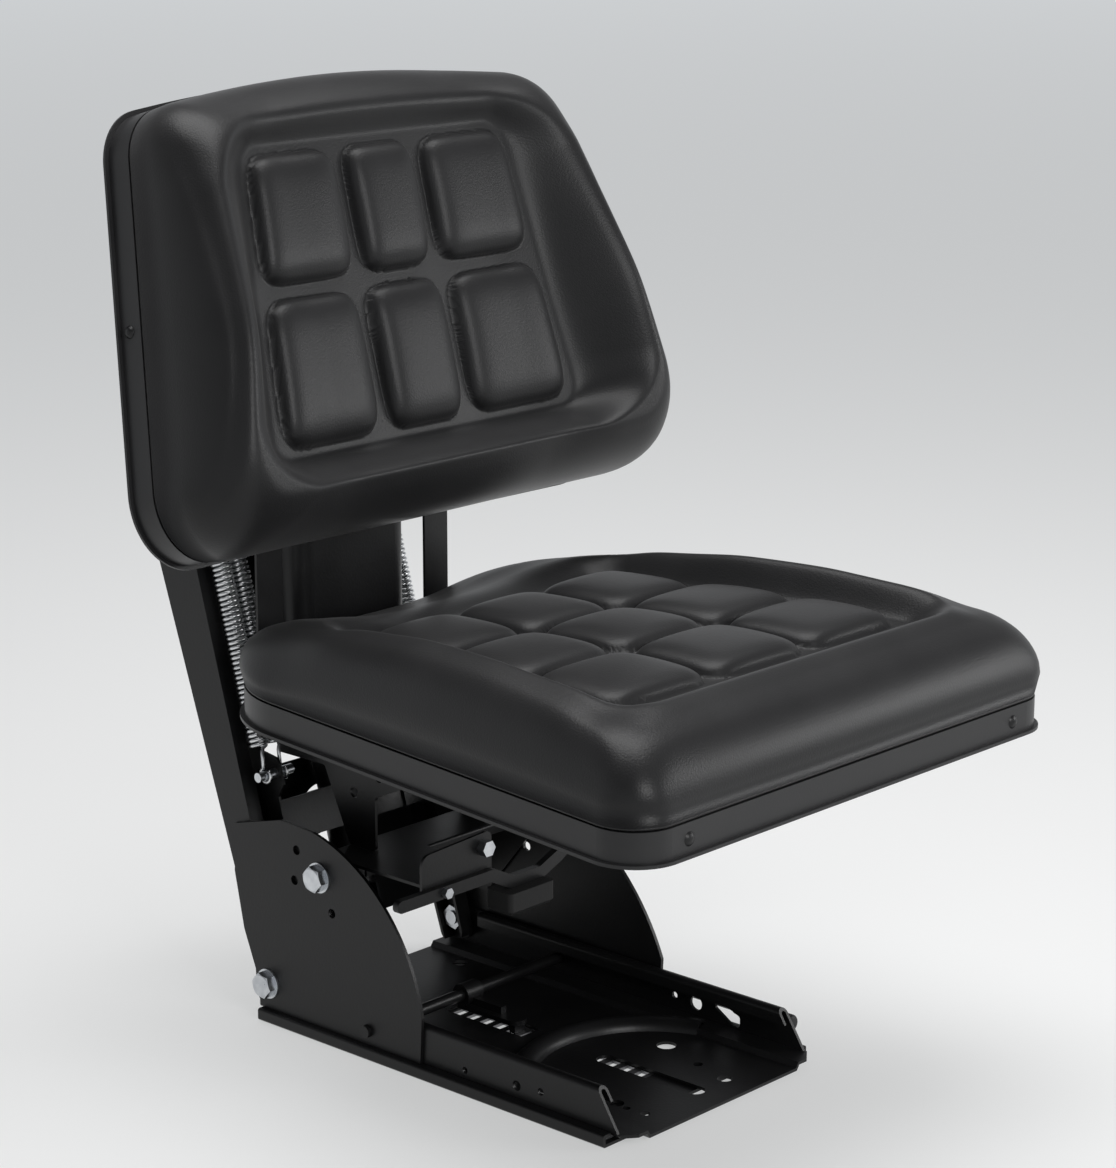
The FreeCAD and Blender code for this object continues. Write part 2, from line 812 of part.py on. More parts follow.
def make_damper_guide():
    guide = Part.makeCylinder(damper_radius, 8, vector(0, damper_y, damper_tube_top))
    spigot = Part.makeCylinder(damper_radius - damper_wall, 8, vector(0, damper_y, damper_tube_top - 8))
    guide = guide.fuse(spigot)
    bore = Part.makeCylinder(damper_rod_radius + running_play, 40, vector(0, damper_y, damper_tube_top - 20))
    return on_tower(guide.cut(bore))


def make_damper_rod():
    low = damper_tube_top - 17
    stem = Part.makeCylinder(damper_rod_radius, damper_high - low, vector(0, damper_y, low))
    piston = Part.makeCylinder(damper_radius - damper_wall - gap, 8, vector(0, damper_y, low))
    eye = cross_rod(-11, 11, damper_y, damper_high, eye_radius)
    damper = stem.fuse(piston).fuse(eye)
    return on_tower(damper.cut(cross_rod(-20, 20, damper_y, damper_high, damper_pin_radius)))


def make_damper_pin(level, reach):
    return on_tower(cross_rod(-reach, reach, damper_y, level, damper_pin_radius))


# The seat frame


def make_arm():
    """The side arm under the seat pan, with its top flange, on the +X side."""
    low_rear_z = 212.0
    rear_low = tower_y(low_rear_z, carriage_front)
    rear_high = tower_y(pan_underside, carriage_front)
    web = slab_yz(
        [
            (rear_low, low_rear_z, 0),
            (rear_high, pan_underside, 0),
            (arm_front, pan_underside, 4),
            (arm_front, pan_underside - 16, 8),
            (200, 240, 30),
            (278, 206, 8),
            (300, 196, 4),
            (300, shelf_top, 4),
            (shelf_y + shelf_depth, shelf_top, 4),
            (342, 177, 8),
            (358, low_rear_z, 3),
        ],
        arm_x,
        arm_x + sheet,
    )
    flange = box(arm_x - arm_flange, arm_x, arm_front + 6, 330, pan_underside - sheet, pan_underside)
    arm = web.fuse(flange)
    for y, z, radius in ((295, 215, 5.0), (324, 196, 4.5)):
        arm = arm.cut(cross_rod(arm_x - 5, arm_x + 10, y, z, radius))
    return arm.removeSplitter()


def make_shelf():
    """The folded cross shelf under the arms."""
    rear = shelf_y + shelf_depth
    section = [
        (shelf_y, shelf_top - 9, 0),
        (shelf_y, shelf_top, 2.2),
        (rear, shelf_top, 2.2),
        (rear, shelf_top - 9, 0),
        (rear - sheet, shelf_top - 9, 0),
        (rear - sheet, shelf_top - sheet, 0),
        (shelf_y + sheet, shelf_top - sheet, 0),
        (shelf_y + sheet, shelf_top - 9, 0),
    ]
    return slab_yz(section, -shelf_half_width, shelf_half_width)


def make_stop_bracket():
    """The angle that reaches forward from the shelf and holds the stop bar."""
    front = stop_bar_y + stop_bar_depth / 2
    level = shelf_top
    foot = box(-104, -32, front, shelf_y + 16, level, level + sheet)
    face = bar_xz([(-108, 141, 5), (-30, 141, 5), (-30, 182, 6), (-108, 178, 9)], front, front + sheet)
    return foot.fuse(face).removeSplitter()


def make_stop_bar():
    """The joggled bar in front of the side plates that carries the rubber stop."""
    y0 = stop_bar_y - stop_bar_depth / 2
    top = stop_bar_z + stop_bar_half_height
    low = stop_bar_z - stop_bar_half_height
    drop = stop_bar_drop
    riser = arm_x + sheet
    width = 10.0
    points = [
        (-stop_bar_end, low, 4.5),
        (-36, low, 8),
        (-14, low - drop, 8),
        (24, low - drop, 8),
        (46, low - 2, 8),
        (riser + width, low + 16, 6),
        (riser + width, 262, 4),
        (riser, 262, 4),
        (riser, top + 19, 4),
        (42, top - 2, 8),
        (20, top - drop, 8),
        (-10, top - drop, 8),
        (-32, top, 8),
        (-stop_bar_end, top, 4.5),
    ]
    return bar_xz(points, y0, y0 + stop_bar_depth)


def make_bump_stop():
    """The rubber stop under the bar, with its rounded foot."""
    top = stop_bar_z - stop_bar_half_height - stop_bar_drop
    low = floor_lift + ring_bead + sheet + gap + stroke * tilt_cosine
    bump_height = top - low
    block = box(-bump_half_width, bump_half_width, stop_bar_y - bump_depth / 2, stop_bar_y + bump_depth / 2, low, top)
    uprights = [e for e in block.Edges if abs(e.BoundBox.ZLength - bump_height) < 0.01]
    block = block.makeFillet(bump_corner, uprights)
    return rounded_foot(block, low)


def rounded_foot(block, low):
    feet = [e for e in block.Edges if abs(e.BoundBox.ZMax - low) < 0.01]
    return block.makeChamfer(bump_corner - 0.5, feet)


def make_frame_bolts():
    """Hex screws on the stop bracket, the arms and the bracket plate."""
    bolts = []
    front = stop_bar_y - stop_bar_depth / 2
    face = stop_bar_y + stop_bar_depth / 2
    bolts.append(hex_head_y(-40, 170, face, 6.0, 7.5))
    bolts.append(hex_head_y(-88, stop_bar_z, front, 4.0, 4.5))
    rear = crank_y + 2 * sheet + 4.5
    for x in (-94, -30, 30, 94):
        bolts.append(hex_head_y(x, crank_low + 13, rear, 5.0, 4.5))
    return bolts


def hex_head_y(x, z, y, half_flats, height):
    radius = half_flats * 2 / math.sqrt(3)
    corners = []
    for k in range(6):
        turn = math.radians(60 * k)
        corners.append((x + radius * math.cos(turn), z + radius * math.sin(turn), 0))
    return bar_xz(corners, y - height, y)


# The seat pan and its cushion


def seat_outline(level, grow):
    front = seat_front - grow
    rear = seat_rear + grow
    corners = [
        (vector(-seat_front_half - grow, front, level), seat_front_corner + grow),
        (vector(seat_front_half + grow, front, level), seat_front_corner + grow),
        (vector(seat_rear_half + grow, rear, level), seat_rear_corner + grow),
        (vector(-seat_rear_half - grow, rear, level), seat_rear_corner + grow),
    ]
    return Part.Face(rounded_wire(corners))


def make_seat_pan():
    base = seat_outline(pan_underside, lip_overhang).extrude(vector(0, 0, sheet))
    wall = seat_outline(pan_underside, 0).extrude(vector(0, 0, seam_level - pan_underside))
    hollow = seat_outline(pan_underside + sheet, -sheet).extrude(vector(0, 0, 60))
    pan = base.fuse(wall).cut(hollow)
    for x, y in rim_screw_places:
        pan = pan.cut(screw_hole(x, y))
    return pan.removeSplitter()




def screw_hole(x, y):
    return rod(vector(x, y - 10, rim_screw_level), vector(x, y + 10, rim_screw_level), 2.2)


def make_rim_screw(x, y):
    head = Part.makeSphere(7, vector(x, y + 4.5, rim_screw_level))
    keep = box(x - 10, x + 10, y - 10, y, rim_screw_level - 10, rim_screw_level + 10)
    shank = rod(vector(x, y - 1, rim_screw_level), vector(x, y + sheet + 0.2, rim_screw_level), 2.2)
    return head.common(keep).fuse(shank)


def rounded_rim(body, picked, radius):
    """Rounds the edges that the test picks."""
    return body.makeFillet(radius, [e for e in body.Edges if picked(e.BoundBox)])


def dish(floor_points, top_points):
    """A pocket with sloping walls, between two rounded outlines of (point, radius)."""
    return Part.makeLoft([rounded_wire(floor_points), rounded_wire(top_points)], True, True)


def make_pillow(x0, x1, y0, y1):
    corner = 12
    points = [(x0, y0, corner), (x1, y0, corner), (x1, y1, corner), (x0, y1, corner)]
    block = slab_xy(points, seat_recess - 2, block_crest)
    return rounded_rim(block, lambda b: b.ZMin > block_crest - 0.01, 7)


def make_seat_body():
    """The cushion's outer form: arched side wings, a lower front and rear."""
    low = seam_level + soft_gap
    outline = seat_outline(low, 0).extrude(vector(0, 0, 100))
    front = seat_front - 10
    rear = seat_rear + 10
    arch = slab_yz(
        [
            (front, low, 0),
            (rear, low, 0),
            (rear, seat_rear_crest - 16, 0),
            (block_rear + 90, seat_rear_crest, 120),
            (block_rear - 45, seat_crest, 160),
            (block_front + 25, seat_crest, 150),
            (seat_front + 34, seat_front_crest, 60),
            (front, seat_front_crest - 7, 0),
        ],
        -300,
        300,
    )
    body = outline.common(arch).removeSplitter()
    body = rounded_rim(body, lambda b: b.ZMin > low + 20 and b.ZMax > low + 30, seat_edge_round)
    return rounded_rim(body, lambda b: b.ZMax < low + 0.01, 6)


def make_seat_cushion():
    low = seam_level + soft_gap
    filling = seat_outline(pan_underside + sheet + soft_gap, -sheet - soft_gap)
    filling = filling.extrude(vector(0, 0, seam_level + 12 - pan_underside - sheet))
    edge = block_half + recess_margin
    front = block_front - recess_margin
    rear = block_rear + recess_margin
    top = seat_crest + 6
    floor_points = []
    top_points = []
    for x, y in ((-1, 0), (1, 0), (1, 1), (-1, 1)):
        across = x * edge
        along = rear if y else front
        floor_points.append((vector(across, along, seat_recess), 16))
        wide = across + x * wing_slope
        longer = along + (wing_slope if y else -wing_slope)
        top_points.append((vector(wide, longer, top), 40))
    cushion = make_seat_body().fuse(filling).cut(dish(floor_points, top_points))
    fall = seat_recess - seat_rear_dip
    run = seat_rear - block_rear
    radius = 250.0
    way = vector(0, run, -fall)
    start = vector(0, block_rear - 6, seat_recess + radius)
    saddle = Part.makeCylinder(radius, 2 * run, start, way)
    cushion = cushion.cut(saddle)
    pitch_x = 2 * block_half / 3
    pitch_y = (block_rear - block_front) / 3
    for i in range(3):
        for j in range(3):
            x0 = -block_half + i * pitch_x + block_gap / 2
            y0 = block_front + j * pitch_y + block_gap / 2
            block = make_pillow(x0, x0 + pitch_x - block_gap, y0, y0 + pitch_y - block_gap)
            cushion = cushion.fuse(block)
    return cushion


# The backrest, its bracket and its cushion


def back_face(depth, grow):
    corners = [
        (vector(-back_low_half - grow, -depth, back_low - grow), back_low_corner + grow),
        (vector(back_low_half + grow, -depth, back_low - grow), back_low_corner + grow),
        (vector(back_high_half + grow, -depth, back_high + grow), back_high_corner + grow),
        (vector(0, -depth, back_apex + grow), back_apex_round + grow),
        (vector(-back_high_half - grow, -depth, back_high + grow), back_high_corner + grow),
    ]
    return Part.Face(rounded_wire(corners))


def wrapped(shape):
    """Brings the sides of a backrest shape forward, beyond its flat middle."""
    pieces = []
    for side in (-1, 1):
        ends = sorted((side * back_flat_half, side * 2 * back_low_half))
        outer = shape.common(box(ends[0], ends[1], -300, 300, -100, 600))
        lean = FreeCAD.Matrix()
        lean.A21 = -side * back_wrap
        lean.A24 = back_wrap * back_flat_half
        pieces.append(outer.transformGeometry(lean))
    middle = shape.common(box(-back_flat_half, back_flat_half, -300, 300, -100, 600))
    return middle.fuse(pieces)


def make_back_pan():
    base = back_face(0, lip_overhang).extrude(vector(0, -sheet, 0))
    wall = back_face(0, 0).extrude(vector(0, -back_rim, 0))
    hollow = back_face(sheet, -sheet).extrude(vector(0, -60, 0))
    return on_back(wrapped(base.fuse(wall).cut(hollow).removeSplitter()))


def make_back_body():
    """The backrest's outer form, thickest at the lower bolster."""
    low = back_rim + soft_gap
    outline = back_face(low, 0).extrude(vector(0, -120, 0))
    profile = slab_yz(
        [
            (-low, back_low - 10, 0),
            (8 - back_low_crest, back_low - 10, 0),
            (-back_low_crest, back_low + 50, 60),
            (-back_middle_crest, back_low + 180, 180),
            (-back_high_crest - 4, back_high - 30, 60),
            (20 - back_high_crest, back_apex + 10, 0),
            (-low, back_apex + 10, 0),
        ],
        -300,
        300,
    )
    body = outline.common(profile).removeSplitter()
    body = rounded_rim(body, lambda b: b.YMax < -low - 20 and b.YMin < -low - 30, back_edge_round)
    return rounded_rim(body, lambda b: b.YMin > -low - 0.01, 6)


def make_back_cushion():
    filling = back_face(sheet + soft_gap, -sheet - soft_gap)
    filling = filling.extrude(vector(0, -back_rim - 10, 0))
    floor_points = []
    top_points = []
    for x, z in ((-167, 96), (167, 96), (140, 333), (-140, 333)):
        outward = wing_slope if x > 0 else -wing_slope
        upward = 24 if z > 200 else -wing_slope
        floor_points.append((vector(x, -back_recess, z), 16))
        top_points.append((vector(x + outward, -back_middle_crest - 8, z + upward), 34))
    cushion = make_back_body().fuse(filling).cut(dish(floor_points, top_points))
    rows = ((101, 215, 40, 52, 158, 148), (226, 326, 36, 48, 146, 138))
    for low_z, high_z, middle, inner, outer_low, outer_high in rows:
        blocks = [[(-middle, low_z), (middle, low_z), (middle, high_z), (-middle, high_z)]]
        side = [(inner, low_z), (outer_low, low_z), (outer_high, high_z), (inner, high_z)]
        blocks.append(side)
        blocks.append([(-x, z) for x, z in side])
        for corners in blocks:
            block = bar_xz([(x, z, 11) for x, z in corners], -back_block_crest, -back_recess + 2)
            cushion = cushion.fuse(rounded_rim(block, lambda b: b.YMax < -back_block_crest + 0.01, 7))
    return on_back(wrapped(cushion))


def offset_path(points, thickness):
    """The (y, z) corners of a bent strip, its second side to the rear of the given line."""
    normals = []
    for (y0, z0), (y1, z1) in zip(points, points[1:]):
        length = math.hypot(y1 - y0, z1 - z0)
        normals.append(((z0 - z1) / length, (y1 - y0) / length))
    far = []
    for i, (y, z) in enumerate(points):
        first = normals[max(i - 1, 0)]
        second = normals[min(i, len(normals) - 1)]
        share = 1 + first[0] * second[0] + first[1] * second[1]
        far.append((y + thickness * (first[0] + second[0]) / share, z + thickness * (first[1] + second[1]) / share))
    return list(points) + far[::-1]


def back_point(height):
    lean = math.radians(back_lean)
    return back_y + height * math.sin(lean), back_z + height * math.cos(lean)


def cranked_strip(top, x0, x1):
    """A strip down the back plane that cranks to the rear, behind the seat pan."""
    path = [back_point(top), back_point(crank_top), (crank_y, crank_z), (crank_y, crank_low)]
    return slab_yz([(y, z, 0) for y, z in offset_path(path, sheet)], x0, x1)


def rolled_edge(side, low, high):
    """The quarter bend and the flange at one upright edge of the bracket."""
    half = bracket_half_width
    flat = half - bracket_bend
    centre = vector(side * flat, bracket_bend, low)
    outer = Part.makeCylinder(bracket_bend, high - low, centre)
    inner = Part.makeCylinder(bracket_bend - sheet, high - low, centre)
    xs = sorted((side * flat, side * (half + 5)))
    bend = outer.cut(inner).common(box(xs[0], xs[1], -5, bracket_bend, low, high))
    xs = sorted((side * (half - sheet), side * half))
    return bend.fuse(box(xs[0], xs[1], bracket_bend, bracket_bend + bracket_flange, low, high))


def make_back_bracket():
    """The wide pressed plate behind the backrest, its edges rolled to the rear."""
    flat = bracket_half_width - bracket_bend
    shape = cranked_strip(bracket_top, -flat, flat)
    for side in (-1, 1):
        shape = shape.fuse(on_back(rolled_edge(side, crank_top, bracket_top)))
        lower = rolled_edge(side, flange_low, crank_z)
        lower.translate(vector(0, crank_y, 0))
        shape = shape.fuse(lower)
    return shape.removeSplitter()


def make_back_strap():
    """The flat strap beside the bracket, from the frame up to the back pan, +X side."""
    return cranked_strip(bracket_top - 30, back_strap_inner, back_strap_outer)


def make_frame_cross():
    """The cross plate between and beside the arms, which the bracket and straps bolt to."""
    front = crank_y + sheet
    plate = box(-back_strap_outer, back_strap_outer, front, front + sheet, crank_low, crank_low + 26)
    for side in (-1, 1):
        middle = side * (arm_x + sheet / 2)
        slot = sheet / 2 + gap
        plate = plate.cut(box(middle - slot, middle + slot, front - 1, front + 10, crank_low - 1, crank_z))
    return plate


# The fore and aft lock


def make_slide_lever():
    """The cross shaft through the flanges, bent into the hand arm outside the left rail."""
    inner = -flange_half_width - side_plate_thickness - 4
    turn = lever_arm_x - lever_bend
    shaft = cross_rod(inner, turn, lever_y, lever_z, lever_radius)
    circle = Part.makeCircle(lever_radius, vector(turn, lever_y, lever_z), vector(1, 0, 0))
    corner = Part.Face(Part.Wire([circle]))
    centre = vector(turn, lever_y - lever_bend, lever_z)
    bend = corner.revolve(centre, vector(0, 0, 1), -90)
    arm_start = vector(lever_arm_x, lever_y - lever_bend, lever_z)
    arm = rod(arm_start, vector(lever_arm_x, lever_tip_y + grip_length, lever_z), lever_radius)
    return shaft.fuse(bend).fuse(arm).removeSplitter()


def make_lever_grip():
    start = vector(lever_arm_x, lever_tip_y + grip_length, lever_z)
    end = vector(lever_arm_x, lever_tip_y, lever_z)
    grip = rod(start, end, lever_radius + 2)
    rims = [e for e in grip.Edges if e.Length > lever_radius * 2 and e.BoundBox.YLength < 0.1]
    return grip.makeFillet(3, rims)


def make_latch():
    """The latch plate on the shaft, with its tooth just clear of the rack."""
    plate = slab_xy(
        [(-9, latch_y - 62, 8.9), (9, latch_y - 62, 8.9), (9, latch_y + 6, 3), (-9, latch_y + 6, 3)],
        lever_z - 12,
        lever_z - 8,
    )
    hub = cross_rod(-9, 9, lever_y, lever_z, lever_radius + 4)
    web = box(-3, 3, latch_y - 40, latch_y, lever_z - 9, lever_z - 2)
    tooth = box(-6, 6, latch_y - 58, latch_y - 52, sheet + gap, lever_z - 8)
    latch = plate.fuse(hub).fuse(web).fuse(tooth)
    return latch.cut(cross_rod(-20, 20, lever_y, lever_z, lever_radius))


def build_base():
    rail = make_rail()
    save("rail_right", mirrored(rail))
    save("rail_left", rail)
    save("rail_strap_front", make_strap(origin_y - mount_spacing_y / 2))
    save("rail_strap_rear", make_strap(origin_y + mount_spacing_y / 2))
    save("lock_rack", make_rack())


def build_tray():
    save("tray", make_tray())
    save("slide_runners", both(make_runner()))
    save("side_plate_right", mirrored(make_side_plate(side_plate_front_right)))
    save("side_plate_left", make_side_plate(side_plate_front_left))
    upright = make_upright()
    save("upright_right", mirrored(upright))
    save("upright_left", upright)
    save("guide_strips", both(make_guide_strip()))
    save("tower_gussets", both(make_gusset()))
    save("tower_back_plate", make_back_plate())
    save("tower_top_plate", make_top_plate())
    save("rebound_stops", both(make_rebound_stop()))
    upright_inner = tower_outer_x - tower_sheet
    pivot_inner = upright_inner - nut_height - 2
    tilt_inner = tower_outer_x - nut_height - 2
    bolts = both(make_tower_bolt(pivot_y, pivot_z, pivot_inner))
    bolts += both(make_tower_bolt(tilt_bolt_y, tilt_bolt_z, tilt_inner))
    nuts = both(make_tower_nut(pivot_y, pivot_z, upright_inner - nut_height))
    nuts += both(make_tower_nut(tilt_bolt_y, tilt_bolt_z, tower_outer_x - nut_height))
    washers = both(make_tower_washer(pivot_y, pivot_z)) + both(make_tower_washer(tilt_bolt_y, tilt_bolt_z))
    save("tower_bolts", bolts)
    save("tower_nuts", nuts)
    save("tower_washers", washers)
    save("damper_tube", make_damper_tube())
    save("damper_guide", make_damper_guide())
    save("damper_pin_lower", make_damper_pin(damper_low, 19))


def build_lever():
    save("slide_lever", make_slide_lever())
    save("lever_grip", make_lever_grip())
    save("slide_latch", make_latch())


def build_springs():
    for x, place in zip(spring_xs, ("inner", "outer")):
        save("spring_" + place + "_right", make_spring(-x))
        save("spring_" + place + "_left", make_spring(x))
    save("spring_yoke", make_yoke())
    save("adjuster_screw", make_screw())
    save("adjuster_knob", make_knob())


def build_carriage():
    for level, place in zip(roller_levels, ("lower", "upper")):
        roller = make_roller(level)
        save("roller_" + place + "_right", mirrored(roller))
        save("roller_" + place + "_left", roller)
    axles = []
    for level in roller_levels:
        axles += both(make_axle(level))
    save("roller_axles", axles)
    side = make_carriage_side()
    save("carriage_side_right", mirrored(side))
    save("carriage_side_left", side)
    save("carriage_cross_lower", make_lower_cross())
    save("carriage_cross_upper", make_upper_cross())
    save("spring_pins", both(make_spring_pin()))
    save("damper_rod", make_damper_rod())
    save("damper_pin_upper", make_damper_pin(damper_high, 19))


def build_seat():
    arm = make_arm()
    save("seat_arm_right", mirrored(arm))
    save("seat_arm_left", arm)
    save("frame_shelf", make_shelf())
    save("stop_bracket", make_stop_bracket())
    save("stop_bar", make_stop_bar())
    save("bump_stop", make_bump_stop())
    save("frame_bolts", make_frame_bolts())
    save("seat_pan", make_seat_pan())
    save("seat_cushion", make_seat_cushion())
    save("rim_screws", [make_rim_screw(x, y) for x, y in rim_screw_places])
    save("back_bracket", make_back_bracket())
    save("frame_cross", make_frame_cross())
    save("back_straps", both(make_back_strap()))
    save("back_pan", make_back_pan())
    save("back_cushion", make_back_cushion())


def build():
    os.makedirs("parts", exist_ok=True)
    build_base()
    build_tray()
    build_lever()
    build_springs()
    build_carriage()
    build_seat()


build()
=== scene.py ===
"""Looks of the tractor seat: vinyl cushions, wound springs, painted and plated steel, light."""

import json
import math

import bpy
import numpy as np
from mathutils import Matrix, Vector


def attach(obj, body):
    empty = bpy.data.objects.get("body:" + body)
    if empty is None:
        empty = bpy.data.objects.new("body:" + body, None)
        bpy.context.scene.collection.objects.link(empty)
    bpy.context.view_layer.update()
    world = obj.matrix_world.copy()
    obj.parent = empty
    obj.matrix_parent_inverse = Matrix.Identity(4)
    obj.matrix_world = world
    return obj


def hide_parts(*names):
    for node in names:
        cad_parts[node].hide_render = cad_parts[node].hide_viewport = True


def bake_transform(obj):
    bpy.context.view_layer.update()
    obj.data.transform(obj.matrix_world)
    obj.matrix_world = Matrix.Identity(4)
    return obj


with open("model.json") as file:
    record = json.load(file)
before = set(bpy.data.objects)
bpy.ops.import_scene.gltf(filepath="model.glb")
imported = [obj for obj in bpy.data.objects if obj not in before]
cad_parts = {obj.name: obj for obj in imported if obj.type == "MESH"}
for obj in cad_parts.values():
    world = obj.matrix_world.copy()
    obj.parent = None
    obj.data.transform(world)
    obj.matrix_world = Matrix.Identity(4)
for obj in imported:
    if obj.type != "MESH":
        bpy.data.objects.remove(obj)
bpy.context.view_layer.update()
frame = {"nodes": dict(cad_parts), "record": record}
nodes = frame["nodes"]

# Lengths are in millimetres until row() turns them into metres

# Seat: y counts from the tray's front edge
ORIGIN_Y = 195.0
SEAT_FRONT, SEAT_REAR = -134.0, 382.0
SEAT_FRONT_HALF, SEAT_REAR_HALF = 247.0, 178.0
SEAT_FRONT_CORNER, SEAT_REAR_CORNER = 34.0, 112.0
SEAT_CENTRE, SEAT_SWELL = (0.0, 96.0), 8.0
SEAT_COLUMNS, SEAT_RINGS = 620, 118
SEAM = 303.5
TUCK = 2.5
RECESS, RECESS_FALL = 356.0, 6.0
REAR_DIP, REAR_DIP_RUN, REAR_DIP_HALF = 18.0, 120, 105.0
WING_PLACES = [-134, -100, -40, 40, 130, 210, 290, 382]
WING_RISES = [8, 13, 25, 31, 33, 27, 9, -6]
WING_SLOPE, WING_SLOPE_LEAST = 0.42, 60
# how far in the sides, the front and the rim are rounded; the rim takes more at the rear
SIDE_ROUND, FRONT_ROUND, ROUND_START = 62.0, 66.0, 7.0
RIM_ROUND, RIM_ROUND_MORE = 24, 26
FRONT_BOLSTER = 2.5
DIMPLE_X, DIMPLE_Y, DIMPLE_DEPTH = 196.0, -78.0, 4.0
# the block of three by three pillows, which narrows towards the rear
BLOCK_RISE, BLOCK_TAPER = 15.0, 0.15
BLOCK_HALF, BLOCK_FRONT, BLOCK_REAR, BLOCK_GAP = 167.0, -45.0, 237.0, 4.05

# Backrest: across, up the back plane, out from it
BACK_LEAN, BACK_Y, BACK_Z = 15.0, 358.0, 372.0
BACK_LOW, BACK_HIGH, BACK_APEX = 30.0, 372.0, 396.0
BACK_LOW_HALF, BACK_HIGH_HALF = 268.0, 205.0
BACK_LOW_CORNER, BACK_HIGH_CORNER, BACK_APEX_ROUND = 52.0, 46.0, 1250.0
BACK_CENTRE, BACK_SWELL = (0.0, 205.0), 5.0
BACK_COLUMNS, BACK_RINGS = 620, 108
BACK_RIM, BACK_FLOOR, BACK_BLOCK_RISE = 26.5, 83.0, 15.0
BACK_RECESS_LOW, BACK_RECESS_HIGH, BACK_RECESS_CORNER = 96.0, 333.0, 16.0
BACK_RECESS_HALVES = [167, 140]
BACK_SIDE_PLACES, BACK_SIDE_CRESTS = [20, 80, 190, 342, 400], [113, 123, 131, 102, 84]
BACK_MIDDLE_PLACES, BACK_MIDDLE_CRESTS = [20, 80, 210, 342, 400], [111, 119, 113, 100, 84]
# rows of pillows: low, high, half the middle pillow, inner and two outer edges of the side pillows
BACK_ROWS = ((101, 215, 40, 52, 158, 148), (226, 326, 36, 48, 146, 138))
BACK_TUCK_DEPTH, BACK_TUCK_WIDTH = 4.0, 3.6
RIM_SCREW_LEVEL, RIM_SCREW_OUT = 212.0, 13.0
RIM_SCREW_RADIUS, RIM_SCREW_HEIGHT = 5.0, 2.6
BACK_FLAT_HALF, BACK_WRAP = 110.0, 0.139

# Tower: levels up it from its pivot bolt
TOWER_LEAN, PIVOT_Y, PIVOT_Z = 16.0, 378.0, 32.0
SPRING_Y, SPRING_RADIUS, SPRING_WIRE = -29.0, 8.5, 1.6
COIL_BOTTOM, COIL_TOP = 190.0, 348.0
LUG_LEVEL, YOKE_LEVEL = 168.0, 366.0
PIN_RADIUS, YOKE_RADIUS = 4.3, 5.3
COIL_TURNS, COIL_STEPS, COIL_SPLIT = 38, 16, 318.0
SPRING_XS = {
    "spring_outer_right": -96.0,
    "spring_inner_right": -78.0,
    "spring_inner_left": 78.0,
    "spring_outer_left": 96.0,
}
HOOK_START, HOOK_END, HOOK_STEPS = 0.15, 5.3, 22


# Shapes


def row(points):
    """Millimetres in the seat's own frame to metres in the row frame."""
    points = np.asarray(points, float).copy()
    points[:, 1] -= ORIGIN_Y
    return points / 1000


def leaned(points, degrees, y, z):
    """Tips (x, y, z) points back about X and moves them to (y, z)."""
    points = np.asarray(points, float)
    turn = math.radians(degrees)
    out = points.copy()
    out[:, 1] = y + points[:, 1] * math.cos(turn) + points[:, 2] * math.sin(turn)
    out[:, 2] = z - points[:, 1] * math.sin(turn) + points[:, 2] * math.cos(turn)
    return out


def add_mesh(name, points, faces):
    """A smooth-shaded piece from points in metres."""
    mesh = bpy.data.meshes.new(name)
    mesh.from_pydata([tuple(p) for p in points], [], faces)
    mesh.validate()
    mesh.polygons.foreach_set("use_smooth", [True] * len(mesh.polygons))
    piece = bpy.data.objects.new(name, mesh)
    bpy.context.scene.collection.objects.link(piece)
    return piece


def rounded_outline(corners):
    """Closed line of (x, y) points through (x, y, radius) corners, anticlockwise."""
    line = []
    count = len(corners)
    for i in range(count):
        here = np.array(corners[i][:2])
        radius = corners[i][2]
        before = np.array(corners[i - 1][:2]) - here
        after = np.array(corners[(i + 1) % count][:2]) - here
        before /= np.linalg.norm(before)
        after /= np.linalg.norm(after)
        half = math.acos(float(np.clip(before @ after, -1, 1))) / 2
        middle = (before + after) / np.linalg.norm(before + after)
        centre = here + middle * radius / math.sin(half)
        first = here + before * radius / math.tan(half) - centre
        last = here + after * radius / math.tan(half) - centre
        start = math.atan2(first[1], first[0])
        sweep = (math.atan2(last[1], last[0]) - start) % (2 * math.pi)
        for k in range(17):
            angle = start + sweep * k / 16
            line.append(centre + radius * np.array([math.cos(angle), math.sin(angle)]))
    line = np.array(line)
    dense = []
    for i in range(len(line)):
        a, b = line[i], line[(i + 1) % len(line)]
        steps = max(1, int(np.linalg.norm(b - a) / 4))
        for k in range(steps):
            dense.append(a + (b - a) * k / steps)
    return np.array(dense)


def eased(value, places, levels, reach=25):
    """Values along a line through (place, level) pairs, its corners rounded off."""
    grid = np.arange(places[0] - 4.0 * reach, places[-1] + 4.0 * reach)
    line = np.interp(grid, places, levels)
    window = np.ones(reach) / reach
    for _ in range(2):
        line = np.convolve(np.pad(line, reach, mode="edge"), window, mode="same")[reach:-reach]
    return np.interp(value, grid, line)


def smooth_step(value):
    """0 below 0, 1 above 1, and an even ease between."""
    value = np.clip(value, 0, 1)
    return value * value * (3 - 2 * value)


def edge_curve(inside, width, power):
    """0 at the outline, 1 from width inside it, rounded like a bolster."""
    share = np.clip(inside / width, 0, 1)
    return (1 - (1 - share) ** power) ** (1 / power)


def rectangle_outside(x, y, x_half, low, high, corner):
    """Distance outside a rounded rectangle; zero or negative inside."""
    dx = np.abs(x) - x_half + corner
    middle = (low + high) / 2
    dy = np.abs(y - middle) - (high - low) / 2 + corner
    outer = np.hypot(np.maximum(dx, 0), np.maximum(dy, 0))
    return outer + np.minimum(np.maximum(dx, dy), 0) - corner


